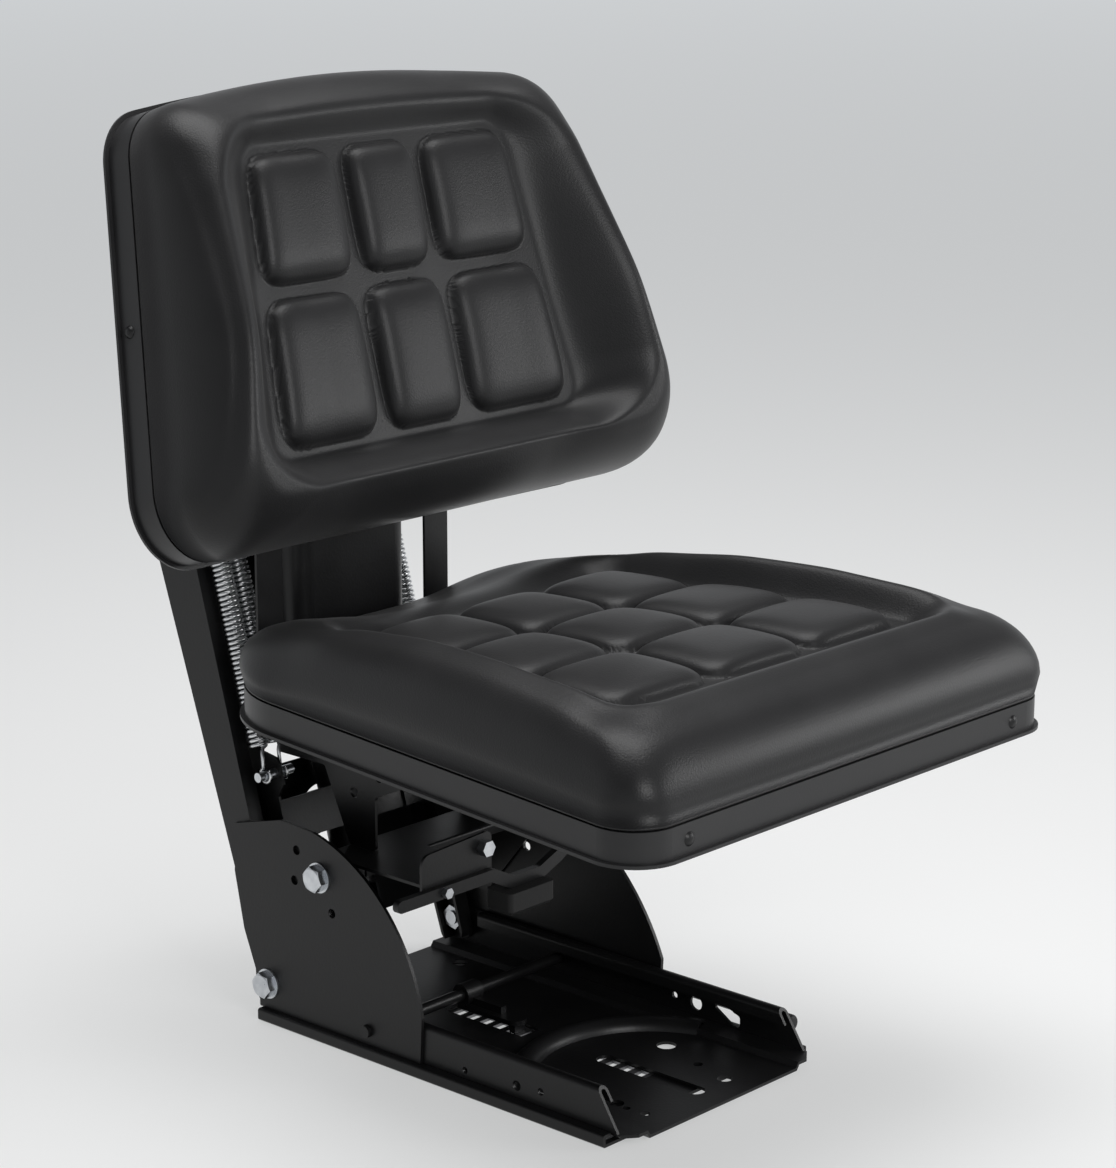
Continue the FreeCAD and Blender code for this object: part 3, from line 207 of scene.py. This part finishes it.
def pillow(u, v, shoulder=7.0, crown=0.34):
    """Height share of a stuffed square, 0 outside its rounded outline."""
    reach = (np.abs(u) ** 6 + np.abs(v) ** 6) ** (1 / 6)
    reach = np.clip(reach, 0, 1)
    side = np.sqrt(np.clip(1 - reach ** shoulder, 0, 1))
    dome = 1 - np.clip((u ** 2 + v ** 2) / 2, 0, 1)
    return side * (1 - crown + crown * dome)


def polar_points(outline, centre, columns, rings):
    """Rings of points from the centre out to the outline."""
    away = outline - centre
    angles = np.arctan2(away[:, 1], away[:, 0])
    order = np.argsort(angles)
    reach = np.linalg.norm(away, axis=1)[order]
    angles = angles[order]
    angles = np.concatenate([angles[-1:] - 2 * math.pi, angles, angles[:1] + 2 * math.pi])
    reach = np.concatenate([reach[-1:], reach, reach[:1]])
    turn = np.linspace(-math.pi, math.pi, columns, endpoint=False)
    edge = np.interp(turn, angles, reach)
    share = (np.arange(1, rings + 1) / rings) ** 0.93
    share[-1] = 1.0
    radius = share[:, None] * edge[None, :]
    x = centre[0] + radius * np.cos(turn)[None, :]
    y = centre[1] + radius * np.sin(turn)[None, :]
    return x, y


def inside_distance(x, y, outline):
    """How far each point lies inside the outline."""
    flat = np.stack([x.ravel(), y.ravel()], 1)
    starts = outline
    ends = np.roll(outline, -1, axis=0)
    run = ends - starts
    length = (run ** 2).sum(1)
    best = np.full(len(flat), 1e9)
    for i in range(len(starts)):
        t = np.clip(((flat - starts[i]) @ run[i]) / length[i], 0, 1)
        gap = flat - starts[i] - t[:, None] * run[i]
        best = np.minimum(best, np.hypot(gap[:, 0], gap[:, 1]))
    return best.reshape(x.shape)


def softened(inside):
    """The distance from the outline, with its creases at the corners rounded off."""
    columns, spread = 14, 7.0
    total, whole = np.zeros_like(inside), 0.0
    for step in range(-columns, columns + 1):
        weight = math.exp(-((step / spread) ** 2))
        total += weight * np.roll(inside, step, axis=1)
        whole += weight
    share = smooth_step((inside - 4) / 24)
    return inside + share * (total / whole - inside)


def cushion_mesh(outline, centre, columns, rings, height, seam, swell):
    """A closed cushion: a modelled top over the outline, a tucked seam and a flat underside."""
    swell_reach, border = 34, 30
    x, y = polar_points(outline, np.array(centre), columns, rings)
    inside = inside_distance(x, y, outline)
    inside[-1] = 0
    inside = softened(inside)
    z = height(x, y, inside)
    away = np.hypot(x - centre[0], y - centre[1])
    push = swell * np.sin(math.pi * np.sqrt(np.clip(inside / swell_reach, 0, 1))) / away
    x = x + (x - centre[0]) * push
    y = y + (y - centre[1]) * push
    middle = height(np.array([centre[0]]), np.array([centre[1]]), np.array([200.0]))
    points = [[centre[0], centre[1], float(middle[0])]]
    for ring in range(rings):
        points.extend(np.stack([x[ring], y[ring], z[ring]], 1).tolist())
    out = np.stack([x[-1] - centre[0], y[-1] - centre[1]], 1)
    out /= np.linalg.norm(out, axis=1)[:, None]
    low = TUCK * 0.3
    under = ((0.0, seam + TUCK), (low, seam + low), (TUCK, seam), (TUCK + border, seam))
    for inset, level in under:
        ring = np.stack([x[-1], y[-1]], 1) - out * inset
        points.extend(np.column_stack([ring, np.full(columns, level)]).tolist())
    points.append([centre[0], centre[1], seam])
    faces = []
    for k in range(columns):
        after = (k + 1) % columns
        faces.append((0, 1 + k, 1 + after))
    total = rings + len(under)
    for ring in range(total - 1):
        a = 1 + ring * columns
        b = a + columns
        for k in range(columns):
            after = (k + 1) % columns
            faces.append((a + k, b + k, b + after, a + after))
    last = 1 + (total - 1) * columns
    end = len(points) - 1
    for k in range(columns):
        faces.append((last + k, end, last + (k + 1) % columns))
    return np.array(points), faces


# The seat cushion

seat_line = rounded_outline(
    [
        (-SEAT_FRONT_HALF, SEAT_FRONT, SEAT_FRONT_CORNER),
        (SEAT_FRONT_HALF, SEAT_FRONT, SEAT_FRONT_CORNER),
        (SEAT_REAR_HALF, SEAT_REAR, SEAT_REAR_CORNER),
        (-SEAT_REAR_HALF, SEAT_REAR, SEAT_REAR_CORNER),
    ]
)


def seat_height(x, y, inside):
    """The top of the seat cushion over (x, y)."""
    wing = eased(y, WING_PLACES, WING_RISES)
    taper = 1 - BLOCK_TAPER * smooth_step((y - BLOCK_FRONT) / (BLOCK_REAR - BLOCK_FRONT + 30))
    across = x / taper
    out = rectangle_outside(across, y, BLOCK_HALF + 4, BLOCK_FRONT - 12, BLOCK_REAR + 8, 18)
    rise = wing * smooth_step(out / (WING_SLOPE * np.maximum(out + inside, WING_SLOPE_LEAST)))
    # the rear runs down between the wings
    saddle = smooth_step((y - BLOCK_REAR + 10) / REAR_DIP_RUN) * np.exp(-((x / REAR_DIP_HALF) ** 4))
    top = RECESS - RECESS_FALL * smooth_step((y - 40) / 180) + rise - REAR_DIP * saddle
    pitch_x = 2 * BLOCK_HALF / 3
    pitch_y = (BLOCK_REAR - BLOCK_FRONT) / 3
    column = np.clip(np.floor((across + BLOCK_HALF) / pitch_x), 0, 2)
    line = np.clip(np.floor((y - BLOCK_FRONT) / pitch_y), 0, 2)
    half_x = (pitch_x - BLOCK_GAP) / 2
    half_y = (pitch_y - BLOCK_GAP) / 2
    u = (across + BLOCK_HALF - (column + 0.5) * pitch_x) / half_x
    v = (y - BLOCK_FRONT - (line + 0.5) * pitch_y) / half_y
    top = top + BLOCK_RISE * pillow(u, v)
    # low crowned front bolster
    front = smooth_step((BLOCK_FRONT - 10 - y) / 40) * smooth_step((y - SEAT_FRONT) / 30)
    top = top + FRONT_BOLSTER * front
    # soft dimples where the side and front bolsters meet
    for side in (-1, 1):
        away = np.hypot((x - side * DIMPLE_X) / 16, (y - DIMPLE_Y) / 22)
        top = top - DIMPLE_DEPTH * np.exp(-(away ** 2))
    # the sides and the front fall away together, so that the corners are domed
    narrowing = (SEAT_REAR_HALF - SEAT_FRONT_HALF) * (y - SEAT_FRONT) / (SEAT_REAR - SEAT_FRONT)
    sides = edge_curve(SEAT_FRONT_HALF + narrowing - np.abs(x) + ROUND_START, SIDE_ROUND, 2.0)
    front_roll = edge_curve(y - SEAT_FRONT + ROUND_START, FRONT_ROUND, 2.0)
    rim = edge_curve(inside, RIM_ROUND + RIM_ROUND_MORE * smooth_step((y - 220) / 110), 2.2)
    return SEAM + TUCK + (top - SEAM - TUCK) * sides * front_roll * rim


points, faces = cushion_mesh(
    seat_line, SEAT_CENTRE, SEAT_COLUMNS, SEAT_RINGS, seat_height, SEAM, SEAT_SWELL
)
seat_cover = add_mesh("seat_cushion_cover", row(points), faces)

# The backrest cushion, as (across, up, out)

back_line = rounded_outline(
    [
        (-BACK_LOW_HALF, BACK_LOW, BACK_LOW_CORNER),
        (BACK_LOW_HALF, BACK_LOW, BACK_LOW_CORNER),
        (BACK_HIGH_HALF, BACK_HIGH, BACK_HIGH_CORNER),
        (0.0, BACK_APEX, BACK_APEX_ROUND),
        (-BACK_HIGH_HALF, BACK_HIGH, BACK_HIGH_CORNER),
    ]
)


def back_half(v):
    """Half the backrest's width at v up the back plane."""
    narrowing = (BACK_HIGH_HALF - BACK_LOW_HALF) * (v - BACK_LOW) / (BACK_HIGH - BACK_LOW)
    return BACK_LOW_HALF + narrowing


def back_height(x, v, inside):
    """How far the backrest's front stands out over (across, up)."""
    bolster = eased(v, BACK_SIDE_PLACES, BACK_SIDE_CRESTS, reach=45)
    plain = eased(v, BACK_MIDDLE_PLACES, BACK_MIDDLE_CRESTS, reach=45)
    crest = plain + (bolster - plain) * smooth_step((np.abs(x) - 120) / 60)
    half = np.interp(v, [BACK_RECESS_LOW, BACK_RECESS_HIGH], BACK_RECESS_HALVES)
    beside = np.abs(x) - half
    beyond = np.maximum(BACK_RECESS_LOW - v, v - BACK_RECESS_HIGH)
    corner = BACK_RECESS_CORNER
    out = np.hypot(np.maximum(beside + corner, 0), np.maximum(beyond + corner, 0)) - corner
    # the slope out of the recess is longer at the sides than below and above
    share = 0.40 + 0.32 * smooth_step((v - 70) / 60) - 0.2 * smooth_step((v - 300) / 40)
    slope = smooth_step(out / (share * np.maximum(out + inside, 34)))
    face = BACK_FLOOR + (crest - BACK_FLOOR) * slope
    for low, high, middle, inner, outer_low, outer_high in BACK_ROWS:
        t = np.clip((v - low) / (high - low), 0, 1)
        outer = outer_low + (outer_high - outer_low) * t
        vv = (v - (low + high) / 2) / ((high - low) / 2)
        inside_row = np.abs(vv) <= 1
        pillows = (
            (-outer, np.full_like(x, -inner)),
            (np.full_like(x, -middle), np.full_like(x, middle)),
            (np.full_like(x, inner), outer),
        )
        for left, right in pillows:
            uu = (x - (left + right) / 2) / ((right - left) / 2)
            here = inside_row & (np.abs(uu) <= 1)
            bump = BACK_BLOCK_RISE * pillow(uu, vv, shoulder=6.0, crown=0.2)
            face = face + np.where(here, bump, 0)
    # curved tuck down each side, between the front bolster and the rim
    for side in (-1, 1):
        depth = 4 + 15 * np.sin(np.clip((v - 20) / 350, 0, 1) * math.pi)
        away = (back_half(v) - side * x) - depth
        tuck = BACK_TUCK_DEPTH * np.exp(-((away / BACK_TUCK_WIDTH) ** 2))
        face = face - tuck * smooth_step((v - 30) / 50) * smooth_step((365 - v) / 50)
    # the side is rounder at the bottom and the top
    width = 46 - 16 * smooth_step((v - 60) / 60) + 8 * smooth_step((v - 300) / 50)
    return BACK_RIM + TUCK + (face - BACK_RIM - TUCK) * edge_curve(inside, width, 2.0)


def wrap_forward(x):
    """How far the backrest's sides come forward of its flat middle."""
    over = np.abs(x) - BACK_FLAT_HALF
    return BACK_WRAP * (np.sqrt(over ** 2 + 100) + over) / 2


points, faces = cushion_mesh(
    back_line, BACK_CENTRE, BACK_COLUMNS, BACK_RINGS, back_height, BACK_RIM, BACK_SWELL
)
turned = np.column_stack([points[:, 0], -points[:, 2] - wrap_forward(points[:, 0]), points[:, 1]])
back_cover = add_mesh("back_cushion_cover", row(leaned(turned, BACK_LEAN, BACK_Y, BACK_Z)), faces)

# The wound springs


def tube(path, radius, sides=7):
    """Points and faces of a round wire along a path, closed at both ends."""
    path = np.asarray(path, float)
    ahead = np.gradient(path, axis=0)
    ahead /= np.linalg.norm(ahead, axis=1)[:, None]
    normal = np.cross(ahead[0], (0.3, 0.5, 0.8))
    normal /= np.linalg.norm(normal)
    points, faces = [], []
    for i in range(len(path)):
        normal = normal - ahead[i] * (normal @ ahead[i])
        normal /= np.linalg.norm(normal)
        side = np.cross(ahead[i], normal)
        for k in range(sides):
            angle = 2 * math.pi * k / sides
            points.append(path[i] + radius * (math.cos(angle) * normal + math.sin(angle) * side))
    for i in range(len(path) - 1):
        for k in range(sides):
            a = i * sides + k
            b = i * sides + (k + 1) % sides
            faces.append((a, b, b + sides, a + sides))
    faces.append(tuple(range(sides))[::-1])
    faces.append(tuple(range((len(path) - 1) * sides, len(path) * sides)))
    return np.array(points), faces


def spring_path(x, upper):
    """The wire's line above or below the split: its coil, a half bend and a hook."""
    centre = SPRING_RADIUS - SPRING_WIRE
    total = COIL_TURNS * COIL_STEPS
    path = []
    for k in range(total + 1):
        level = COIL_BOTTOM + 2 + (COIL_TOP - COIL_BOTTOM - 4) * k / total
        angle = 2 * math.pi * k / COIL_STEPS
        path.append((x + centre * math.cos(angle), SPRING_Y + centre * math.sin(angle), level))
    path = np.array(path)
    near = path[:, 2] <= COIL_SPLIT
    coil = path[~near] if upper else path[near]
    if upper:
        level, radius = YOKE_LEVEL, YOKE_RADIUS + SPRING_WIRE
        stem = [(x + centre * 0.4, SPRING_Y, COIL_TOP + 1.5), (x, SPRING_Y - 1, COIL_TOP + 4)]
        angles = np.linspace(HOOK_START, HOOK_END, HOOK_STEPS)
        hook = [(x, SPRING_Y + radius * math.sin(a), level - radius * math.cos(a)) for a in angles]
        return np.vstack([coil, stem, hook])
    level, radius = LUG_LEVEL, PIN_RADIUS + SPRING_WIRE
    stem = [(x, SPRING_Y - 1, COIL_BOTTOM - 4), (x + centre * 0.4, SPRING_Y, COIL_BOTTOM)]
    angles = np.linspace(HOOK_END, HOOK_START, HOOK_STEPS)
    hook = [(x, SPRING_Y + radius * math.sin(a), level + radius * math.cos(a)) for a in angles]
    return np.vstack([hook, stem, coil])


def tower_point(x, y, level):
    """A point on the leaning tower, in metres."""
    return tuple(row(leaned([(x, y, level)], TOWER_LEAN, PIVOT_Y, PIVOT_Z))[0])


spring_pieces = []
for name, x in SPRING_XS.items():
    pin = tower_point(x, SPRING_Y, LUG_LEVEL + 10)
    split = tower_point(x, SPRING_Y, COIL_SPLIT)
    yoke = tower_point(x, SPRING_Y, YOKE_LEVEL - 8)
    for upper in (False, True):
        path = leaned(spring_path(x, upper), TOWER_LEAN, PIVOT_Y, PIVOT_Z)
        points, faces = tube(path, SPRING_WIRE)
        piece = add_mesh(name + ("_upper" if upper else "_coil"), row(points), faces)
        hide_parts(name)
        if upper:
            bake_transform(piece)
        else:
            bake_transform(piece)
        spring_pieces.append(piece)

# Domed screws in the sides of the back pan's rim


def dome(place, outward, radius, height):
    """A low domed head on a round flange, standing on place."""
    outward = np.asarray(outward, float) / np.linalg.norm(outward)
    first = np.cross(outward, (0, 0, 1))
    first /= np.linalg.norm(first)
    second = np.cross(outward, first)
    sides, points, faces = 20, [], []
    profile = [
        (radius, -0.6),
        (radius, 0.5),
        (radius * 0.86, 0.8),
        (radius * 0.8, height * 0.6),
        (radius * 0.5, height * 0.93),
    ]
    for reach, level in profile:
        for k in range(sides):
            angle = 2 * math.pi * k / sides
            around = math.cos(angle) * first + math.sin(angle) * second
            points.append(place + outward * level + reach * around)
    points.append(place + outward * height)
    for ring in range(len(profile) - 1):
        for k in range(sides):
            a, b = ring * sides + k, ring * sides + (k + 1) % sides
            faces.append((a, b, b + sides, a + sides))
    top = (len(profile) - 1) * sides
    for k in range(sides):
        faces.append((top + k, top + (k + 1) % sides, len(points) - 1))
    faces.append(tuple(range(sides))[::-1])
    return np.array(points), faces


dome_pieces = []
for side in (-1, 1):
    across = back_half(RIM_SCREW_LEVEL)
    out = RIM_SCREW_OUT + BACK_WRAP * (across - BACK_FLAT_HALF)
    place = np.array([side * across, -out, RIM_SCREW_LEVEL])
    points, faces = dome(place, (side * 0.983, 0.0, 0.181), RIM_SCREW_RADIUS, RIM_SCREW_HEIGHT)
    name = "back_rim_screw_" + ("left" if side > 0 else "right")
    dome_pieces.append(add_mesh(name, row(leaned(points, BACK_LEAN, BACK_Y, BACK_Z)), faces))

# Materials: grain is in waves a metre and bump, its depth, in metres

FINISHES = {
    "vinyl": dict(
        dark=(0.014, 0.014, 0.0147), light=(0.019, 0.019, 0.0198),
        rough=0.40, spread=0.04, grain=700.0, bump=0.00005, level=0.26,
    ),
    "pan_shell": dict(
        dark=(0.020, 0.020, 0.021), light=(0.026, 0.026, 0.027),
        rough=0.42, spread=0.05, grain=520.0, bump=0.00006, level=0.38,
    ),
    "black_steel": dict(
        dark=(0.006, 0.006, 0.0065), light=(0.010, 0.010, 0.0105),
        rough=0.38, spread=0.06, grain=420.0, bump=0.00009, level=0.35,
    ),
    "zinc": dict(
        dark=(0.5, 0.52, 0.55), light=(0.68, 0.7, 0.72),
        rough=0.3, spread=0.08, grain=300.0, bump=0.00003, metal=1.0, patch=120.0,
    ),
    "spring_steel": dict(
        dark=(0.55, 0.56, 0.57), light=(0.75, 0.76, 0.77),
        rough=0.28, spread=0.08, grain=300.0, bump=0.00003, metal=1.0, patch=90.0,
    ),
    "bare_steel": dict(
        dark=(0.24, 0.24, 0.25), light=(0.36, 0.36, 0.37),
        rough=0.42, spread=0.08, grain=260.0, bump=0.00005, metal=1.0, patch=60.0,
    ),
    "rubber": dict(
        dark=(0.014, 0.014, 0.014), light=(0.022, 0.022, 0.022),
        rough=0.72, spread=0.06, grain=380.0, bump=0.00012,
    ),
    "nylon": dict(
        dark=(0.03, 0.03, 0.031), light=(0.045, 0.045, 0.046),
        rough=0.5, spread=0.05, grain=400.0, bump=0.00005,
    ),
    "grip": dict(
        dark=(0.011, 0.011, 0.012), light=(0.017, 0.017, 0.018),
        rough=0.55, spread=0.05, grain=600.0, bump=0.0001,
    ),
}


def find_node(tree, kind):
    return next(n for n in tree.nodes if n.type == kind)


def set_inputs(node, values):
    for name, value in values.items():
        node.inputs[name].default_value = value


def add_node(tree, kind, values):
    """A shader node with the given values of its inputs."""
    node = tree.nodes.new(kind)
    set_inputs(node, values)
    return node


def add_maths(tree, kind, operation):
    """A number or vector maths node."""
    node = tree.nodes.new(kind)
    node.operation = operation
    return node


def colour_ramp(tree, stops):
    """A ramp node through (position, colour) stops."""
    node = tree.nodes.new("ShaderNodeValToRGB")
    ramp = node.color_ramp
    for element, (position, colour) in zip(ramp.elements, (stops[0], stops[-1])):
        element.position = position
        element.color = (*colour, 1)
    for position, colour in stops[1:-1]:
        ramp.elements.new(position).color = (*colour, 1)
    return node


def new_material(name):
    material = bpy.data.materials.new(name)
    material.use_nodes = True
    return material, material.node_tree, find_node(material.node_tree, "BSDF_PRINCIPLED")


def finish_material(
    name, dark, light, rough, spread, grain, bump, metal=0.0, level=0.5, patch=14.0
):
    """A surface whose colour and roughness wander a little, with a fine grain."""
    material, tree, shader = new_material(name)
    link = tree.links.new
    set_inputs(shader, {"Metallic": metal, "Specular IOR Level": level})
    place = tree.nodes.new("ShaderNodeTexCoord")
    wide = add_node(tree, "ShaderNodeTexNoise", {"Scale": patch, "Detail": 3.0})
    link(place.outputs["Object"], wide.inputs["Vector"])
    ramp = colour_ramp(tree, ((0.3, dark), (0.7, light)))
    link(wide.outputs["Fac"], ramp.inputs["Fac"])
    link(ramp.outputs["Color"], shader.inputs["Base Color"])
    span = {"To Min": rough - spread, "To Max": rough + spread}
    soft = add_node(tree, "ShaderNodeMapRange", span)
    link(wide.outputs["Fac"], soft.inputs["Value"])
    link(soft.outputs["Result"], shader.inputs["Roughness"])
    fine = add_node(tree, "ShaderNodeTexNoise", {"Scale": grain, "Detail": 2.0})
    link(place.outputs["Object"], fine.inputs["Vector"])
    lift = add_node(tree, "ShaderNodeBump", {"Strength": 1.0, "Distance": bump})
    link(fine.outputs["Fac"], lift.inputs["Height"])
    link(lift.outputs["Normal"], shader.inputs["Normal"])
    return material


def add_pebbles(material):
    """Gives a grained surface fine creases between pebbles, and a faint sheen."""
    tree = material.node_tree
    link = tree.links.new
    place = find_node(tree, "TEX_COORD")
    lift = find_node(tree, "BUMP")
    shader = find_node(tree, "BSDF_PRINCIPLED")
    pebble = add_node(tree, "ShaderNodeTexVoronoi", {"Scale": 620.0})
    link(place.outputs["Object"], pebble.inputs["Vector"])
    crease = add_node(tree, "ShaderNodeBump", {"Strength": 1.0, "Distance": 0.00008})
    crease.invert = True
    link(pebble.outputs["Distance"], crease.inputs["Height"])
    link(lift.outputs["Normal"], crease.inputs["Normal"])
    link(crease.outputs["Normal"], shader.inputs["Normal"])
    set_inputs(shader, {"Sheen Weight": 0.05, "Sheen Roughness": 0.5})


looks = {name: finish_material(name, **values) for name, values in FINISHES.items()}
add_pebbles(looks["vinyl"])


def dress(piece, slot):
    piece.data.materials.clear()
    piece.data.materials.append(looks[slot])


for part in frame["record"]["subparts"]:
    node = nodes[part["node"]]
    if not node.material_slots:
        node.data.materials.append(None)
    for holder in node.material_slots:
        holder.material = looks[part["material_slot"]]
# the rim screws are as black as the pan
for holder in nodes["rim_screws"].material_slots:
    holder.material = looks["black_steel"]
for piece in spring_pieces:
    dress(piece, "spring_steel")
for piece in dome_pieces:
    dress(piece, "black_steel")
    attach(piece, "carriage")
for piece, node in ((seat_cover, "seat_cushion"), (back_cover, "back_cushion")):
    dress(piece, "vinyl")
    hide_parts(node)
    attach(piece, "carriage")

# Floor, light and camera, in metres

FLOOR_RADIUS, FLOOR_LEVEL = 60.0, -0.0004
FLOOR_GREY = (0.42, 0.42, 0.42, 1)
# seen tones of the floor by the share of FLOOR_REACH from its middle
FLOOR_REACH = 15.0
FLOOR_TONES = (
    (0.0, (0.46, 0.465, 0.465)),
    (0.05, (0.42, 0.425, 0.425)),
    (0.2, (0.44, 0.45, 0.455)),
    (1.0, (0.54, 0.56, 0.575)),
)
# the sky that lights the object and the backdrop that is seen, by height
SKY_TONES = ((0.1, (0.24, 0.24, 0.245)), (0.9, (0.55, 0.55, 0.56)))
SEEN_TONES = ((0.24, (0.60, 0.615, 0.63)), (0.42, (0.12, 0.12, 0.125)))
# the sky's light fades towards DIM_WAY
DIM_WAY = (-0.75, -0.66, 0.0)
DIM_SPAN = {"From Min": -0.75, "From Max": 0.15, "To Min": 1.0, "To Max": 0.2}
# name, place, aim, size, watts
LAMPS = (
    ("overhead", (0.1, 0.15, 2.5), (0.0, 0.05, 0.3), (2.2, 1.6), 52.0),
    ("front", (1.5, -1.45, 0.8), (0.0, 0.1, 0.5), (1.0, 0.5), 10.0),
    ("ahead", (-0.7, -2.6, 1.45), (0.0, 0.3, 0.65), (1.0, 0.8), 28.0),
)
CAMERA_PLACE = (-1.7922, -1.6813, 0.9937)
CAMERA_RIGHT, CAMERA_AHEAD = (0.6770, -0.7360, 0.0), (0.7140, 0.6567, -0.2429)
FOCAL_PIXELS, PICTURE_PIXELS, SENSOR_WIDTH = 3247.0, 1116.0, 36.0


def seen_plainly(tree):
    """1 for camera, mirror and glass rays, which see the pale background, and 0 for the others."""
    path = tree.nodes.new("ShaderNodeLightPath")
    first = add_maths(tree, "ShaderNodeMath", "MAXIMUM")
    second = add_maths(tree, "ShaderNodeMath", "MAXIMUM")
    tree.links.new(path.outputs["Is Camera Ray"], first.inputs[0])
    tree.links.new(path.outputs["Is Glossy Ray"], first.inputs[1])
    tree.links.new(first.outputs[0], second.inputs[0])
    tree.links.new(path.outputs["Is Transmission Ray"], second.inputs[1])
    return second.outputs[0]


bpy.ops.mesh.primitive_circle_add(
    vertices=96, radius=FLOOR_RADIUS, fill_type="NGON", location=(0, 0, FLOOR_LEVEL)
)
floor = bpy.context.object
floor.name = "floor"
material, tree, shader = new_material("floor")
link = tree.links.new
set_inputs(shader, {"Base Color": FLOOR_GREY, "Roughness": 0.9, "Specular IOR Level": 0.0})
place = tree.nodes.new("ShaderNodeTexCoord")
length = add_maths(tree, "ShaderNodeVectorMath", "LENGTH")
link(place.outputs["Object"], length.inputs[0])
reach = add_node(tree, "ShaderNodeMapRange", {"From Max": FLOOR_REACH})
link(length.outputs["Value"], reach.inputs["Value"])
shade = colour_ramp(tree, FLOOR_TONES)
link(reach.outputs["Result"], shade.inputs["Fac"])
glow = tree.nodes.new("ShaderNodeEmission")
link(shade.outputs["Color"], glow.inputs["Color"])
link(seen_plainly(tree), glow.inputs["Strength"])
both = tree.nodes.new("ShaderNodeAddShader")
link(shader.outputs["BSDF"], both.inputs[0])
link(glow.outputs["Emission"], both.inputs[1])
link(both.outputs["Shader"], find_node(tree, "OUTPUT_MATERIAL").inputs["Surface"])
floor.data.materials.append(material)

world = bpy.data.worlds.new("studio")
bpy.context.scene.world = world
world.use_nodes = True
tree = world.node_tree
link = tree.links.new
place = tree.nodes.new("ShaderNodeTexCoord")
split = tree.nodes.new("ShaderNodeSeparateXYZ")
link(place.outputs["Generated"], split.inputs["Vector"])
sky = colour_ramp(tree, SKY_TONES)
link(split.outputs["Z"], sky.inputs["Fac"])
shown = colour_ramp(tree, SEEN_TONES)
link(split.outputs["Z"], shown.inputs["Fac"])
towards = add_maths(tree, "ShaderNodeVectorMath", "DOT_PRODUCT")
towards.inputs[1].default_value = DIM_WAY
link(place.outputs["Generated"], towards.inputs[0])
fade = add_node(tree, "ShaderNodeMapRange", DIM_SPAN)
link(towards.outputs["Value"], fade.inputs["Value"])
dim = add_maths(tree, "ShaderNodeVectorMath", "SCALE")
link(sky.outputs["Color"], dim.inputs[0])
link(fade.outputs["Result"], dim.inputs["Scale"])
blend = tree.nodes.new("ShaderNodeMixRGB")
link(seen_plainly(tree), blend.inputs["Fac"])
link(dim.outputs["Vector"], blend.inputs[1])
link(shown.outputs["Color"], blend.inputs[2])
background = find_node(tree, "BACKGROUND")
background.inputs["Strength"].default_value = 1.0
link(blend.outputs["Color"], background.inputs["Color"])

for name, place, aim, size, power in LAMPS:
    lamp = bpy.data.lights.new(name, "AREA")
    lamp.shape = "RECTANGLE"
    lamp.size, lamp.size_y = size
    lamp.energy = power
    holder = bpy.data.objects.new(name, lamp)
    bpy.context.scene.collection.objects.link(holder)
    holder.location = place
    way = Vector(aim) - Vector(place)
    holder.rotation_euler = way.to_track_quat("-Z", "Y").to_euler()

camera_data = bpy.data.cameras.new("camera")
camera = bpy.data.objects.new("camera", camera_data)
bpy.context.scene.collection.objects.link(camera)
right = Vector(CAMERA_RIGHT).normalized()
ahead = Vector(CAMERA_AHEAD).normalized()
up = right.cross(ahead).normalized()
right = ahead.cross(up).normalized()
turn = Matrix((right, up, -ahead)).transposed().to_4x4()
camera.matrix_world = Matrix.Translation(CAMERA_PLACE) @ turn
camera_data.sensor_fit = "HORIZONTAL"
camera_data.sensor_width = SENSOR_WIDTH
camera_data.lens = FOCAL_PIXELS * SENSOR_WIDTH / PICTURE_PIXELS
camera_data.clip_end = 100.0
bpy.context.scene.camera = camera
bpy.context.scene.view_settings.view_transform = "Standard"
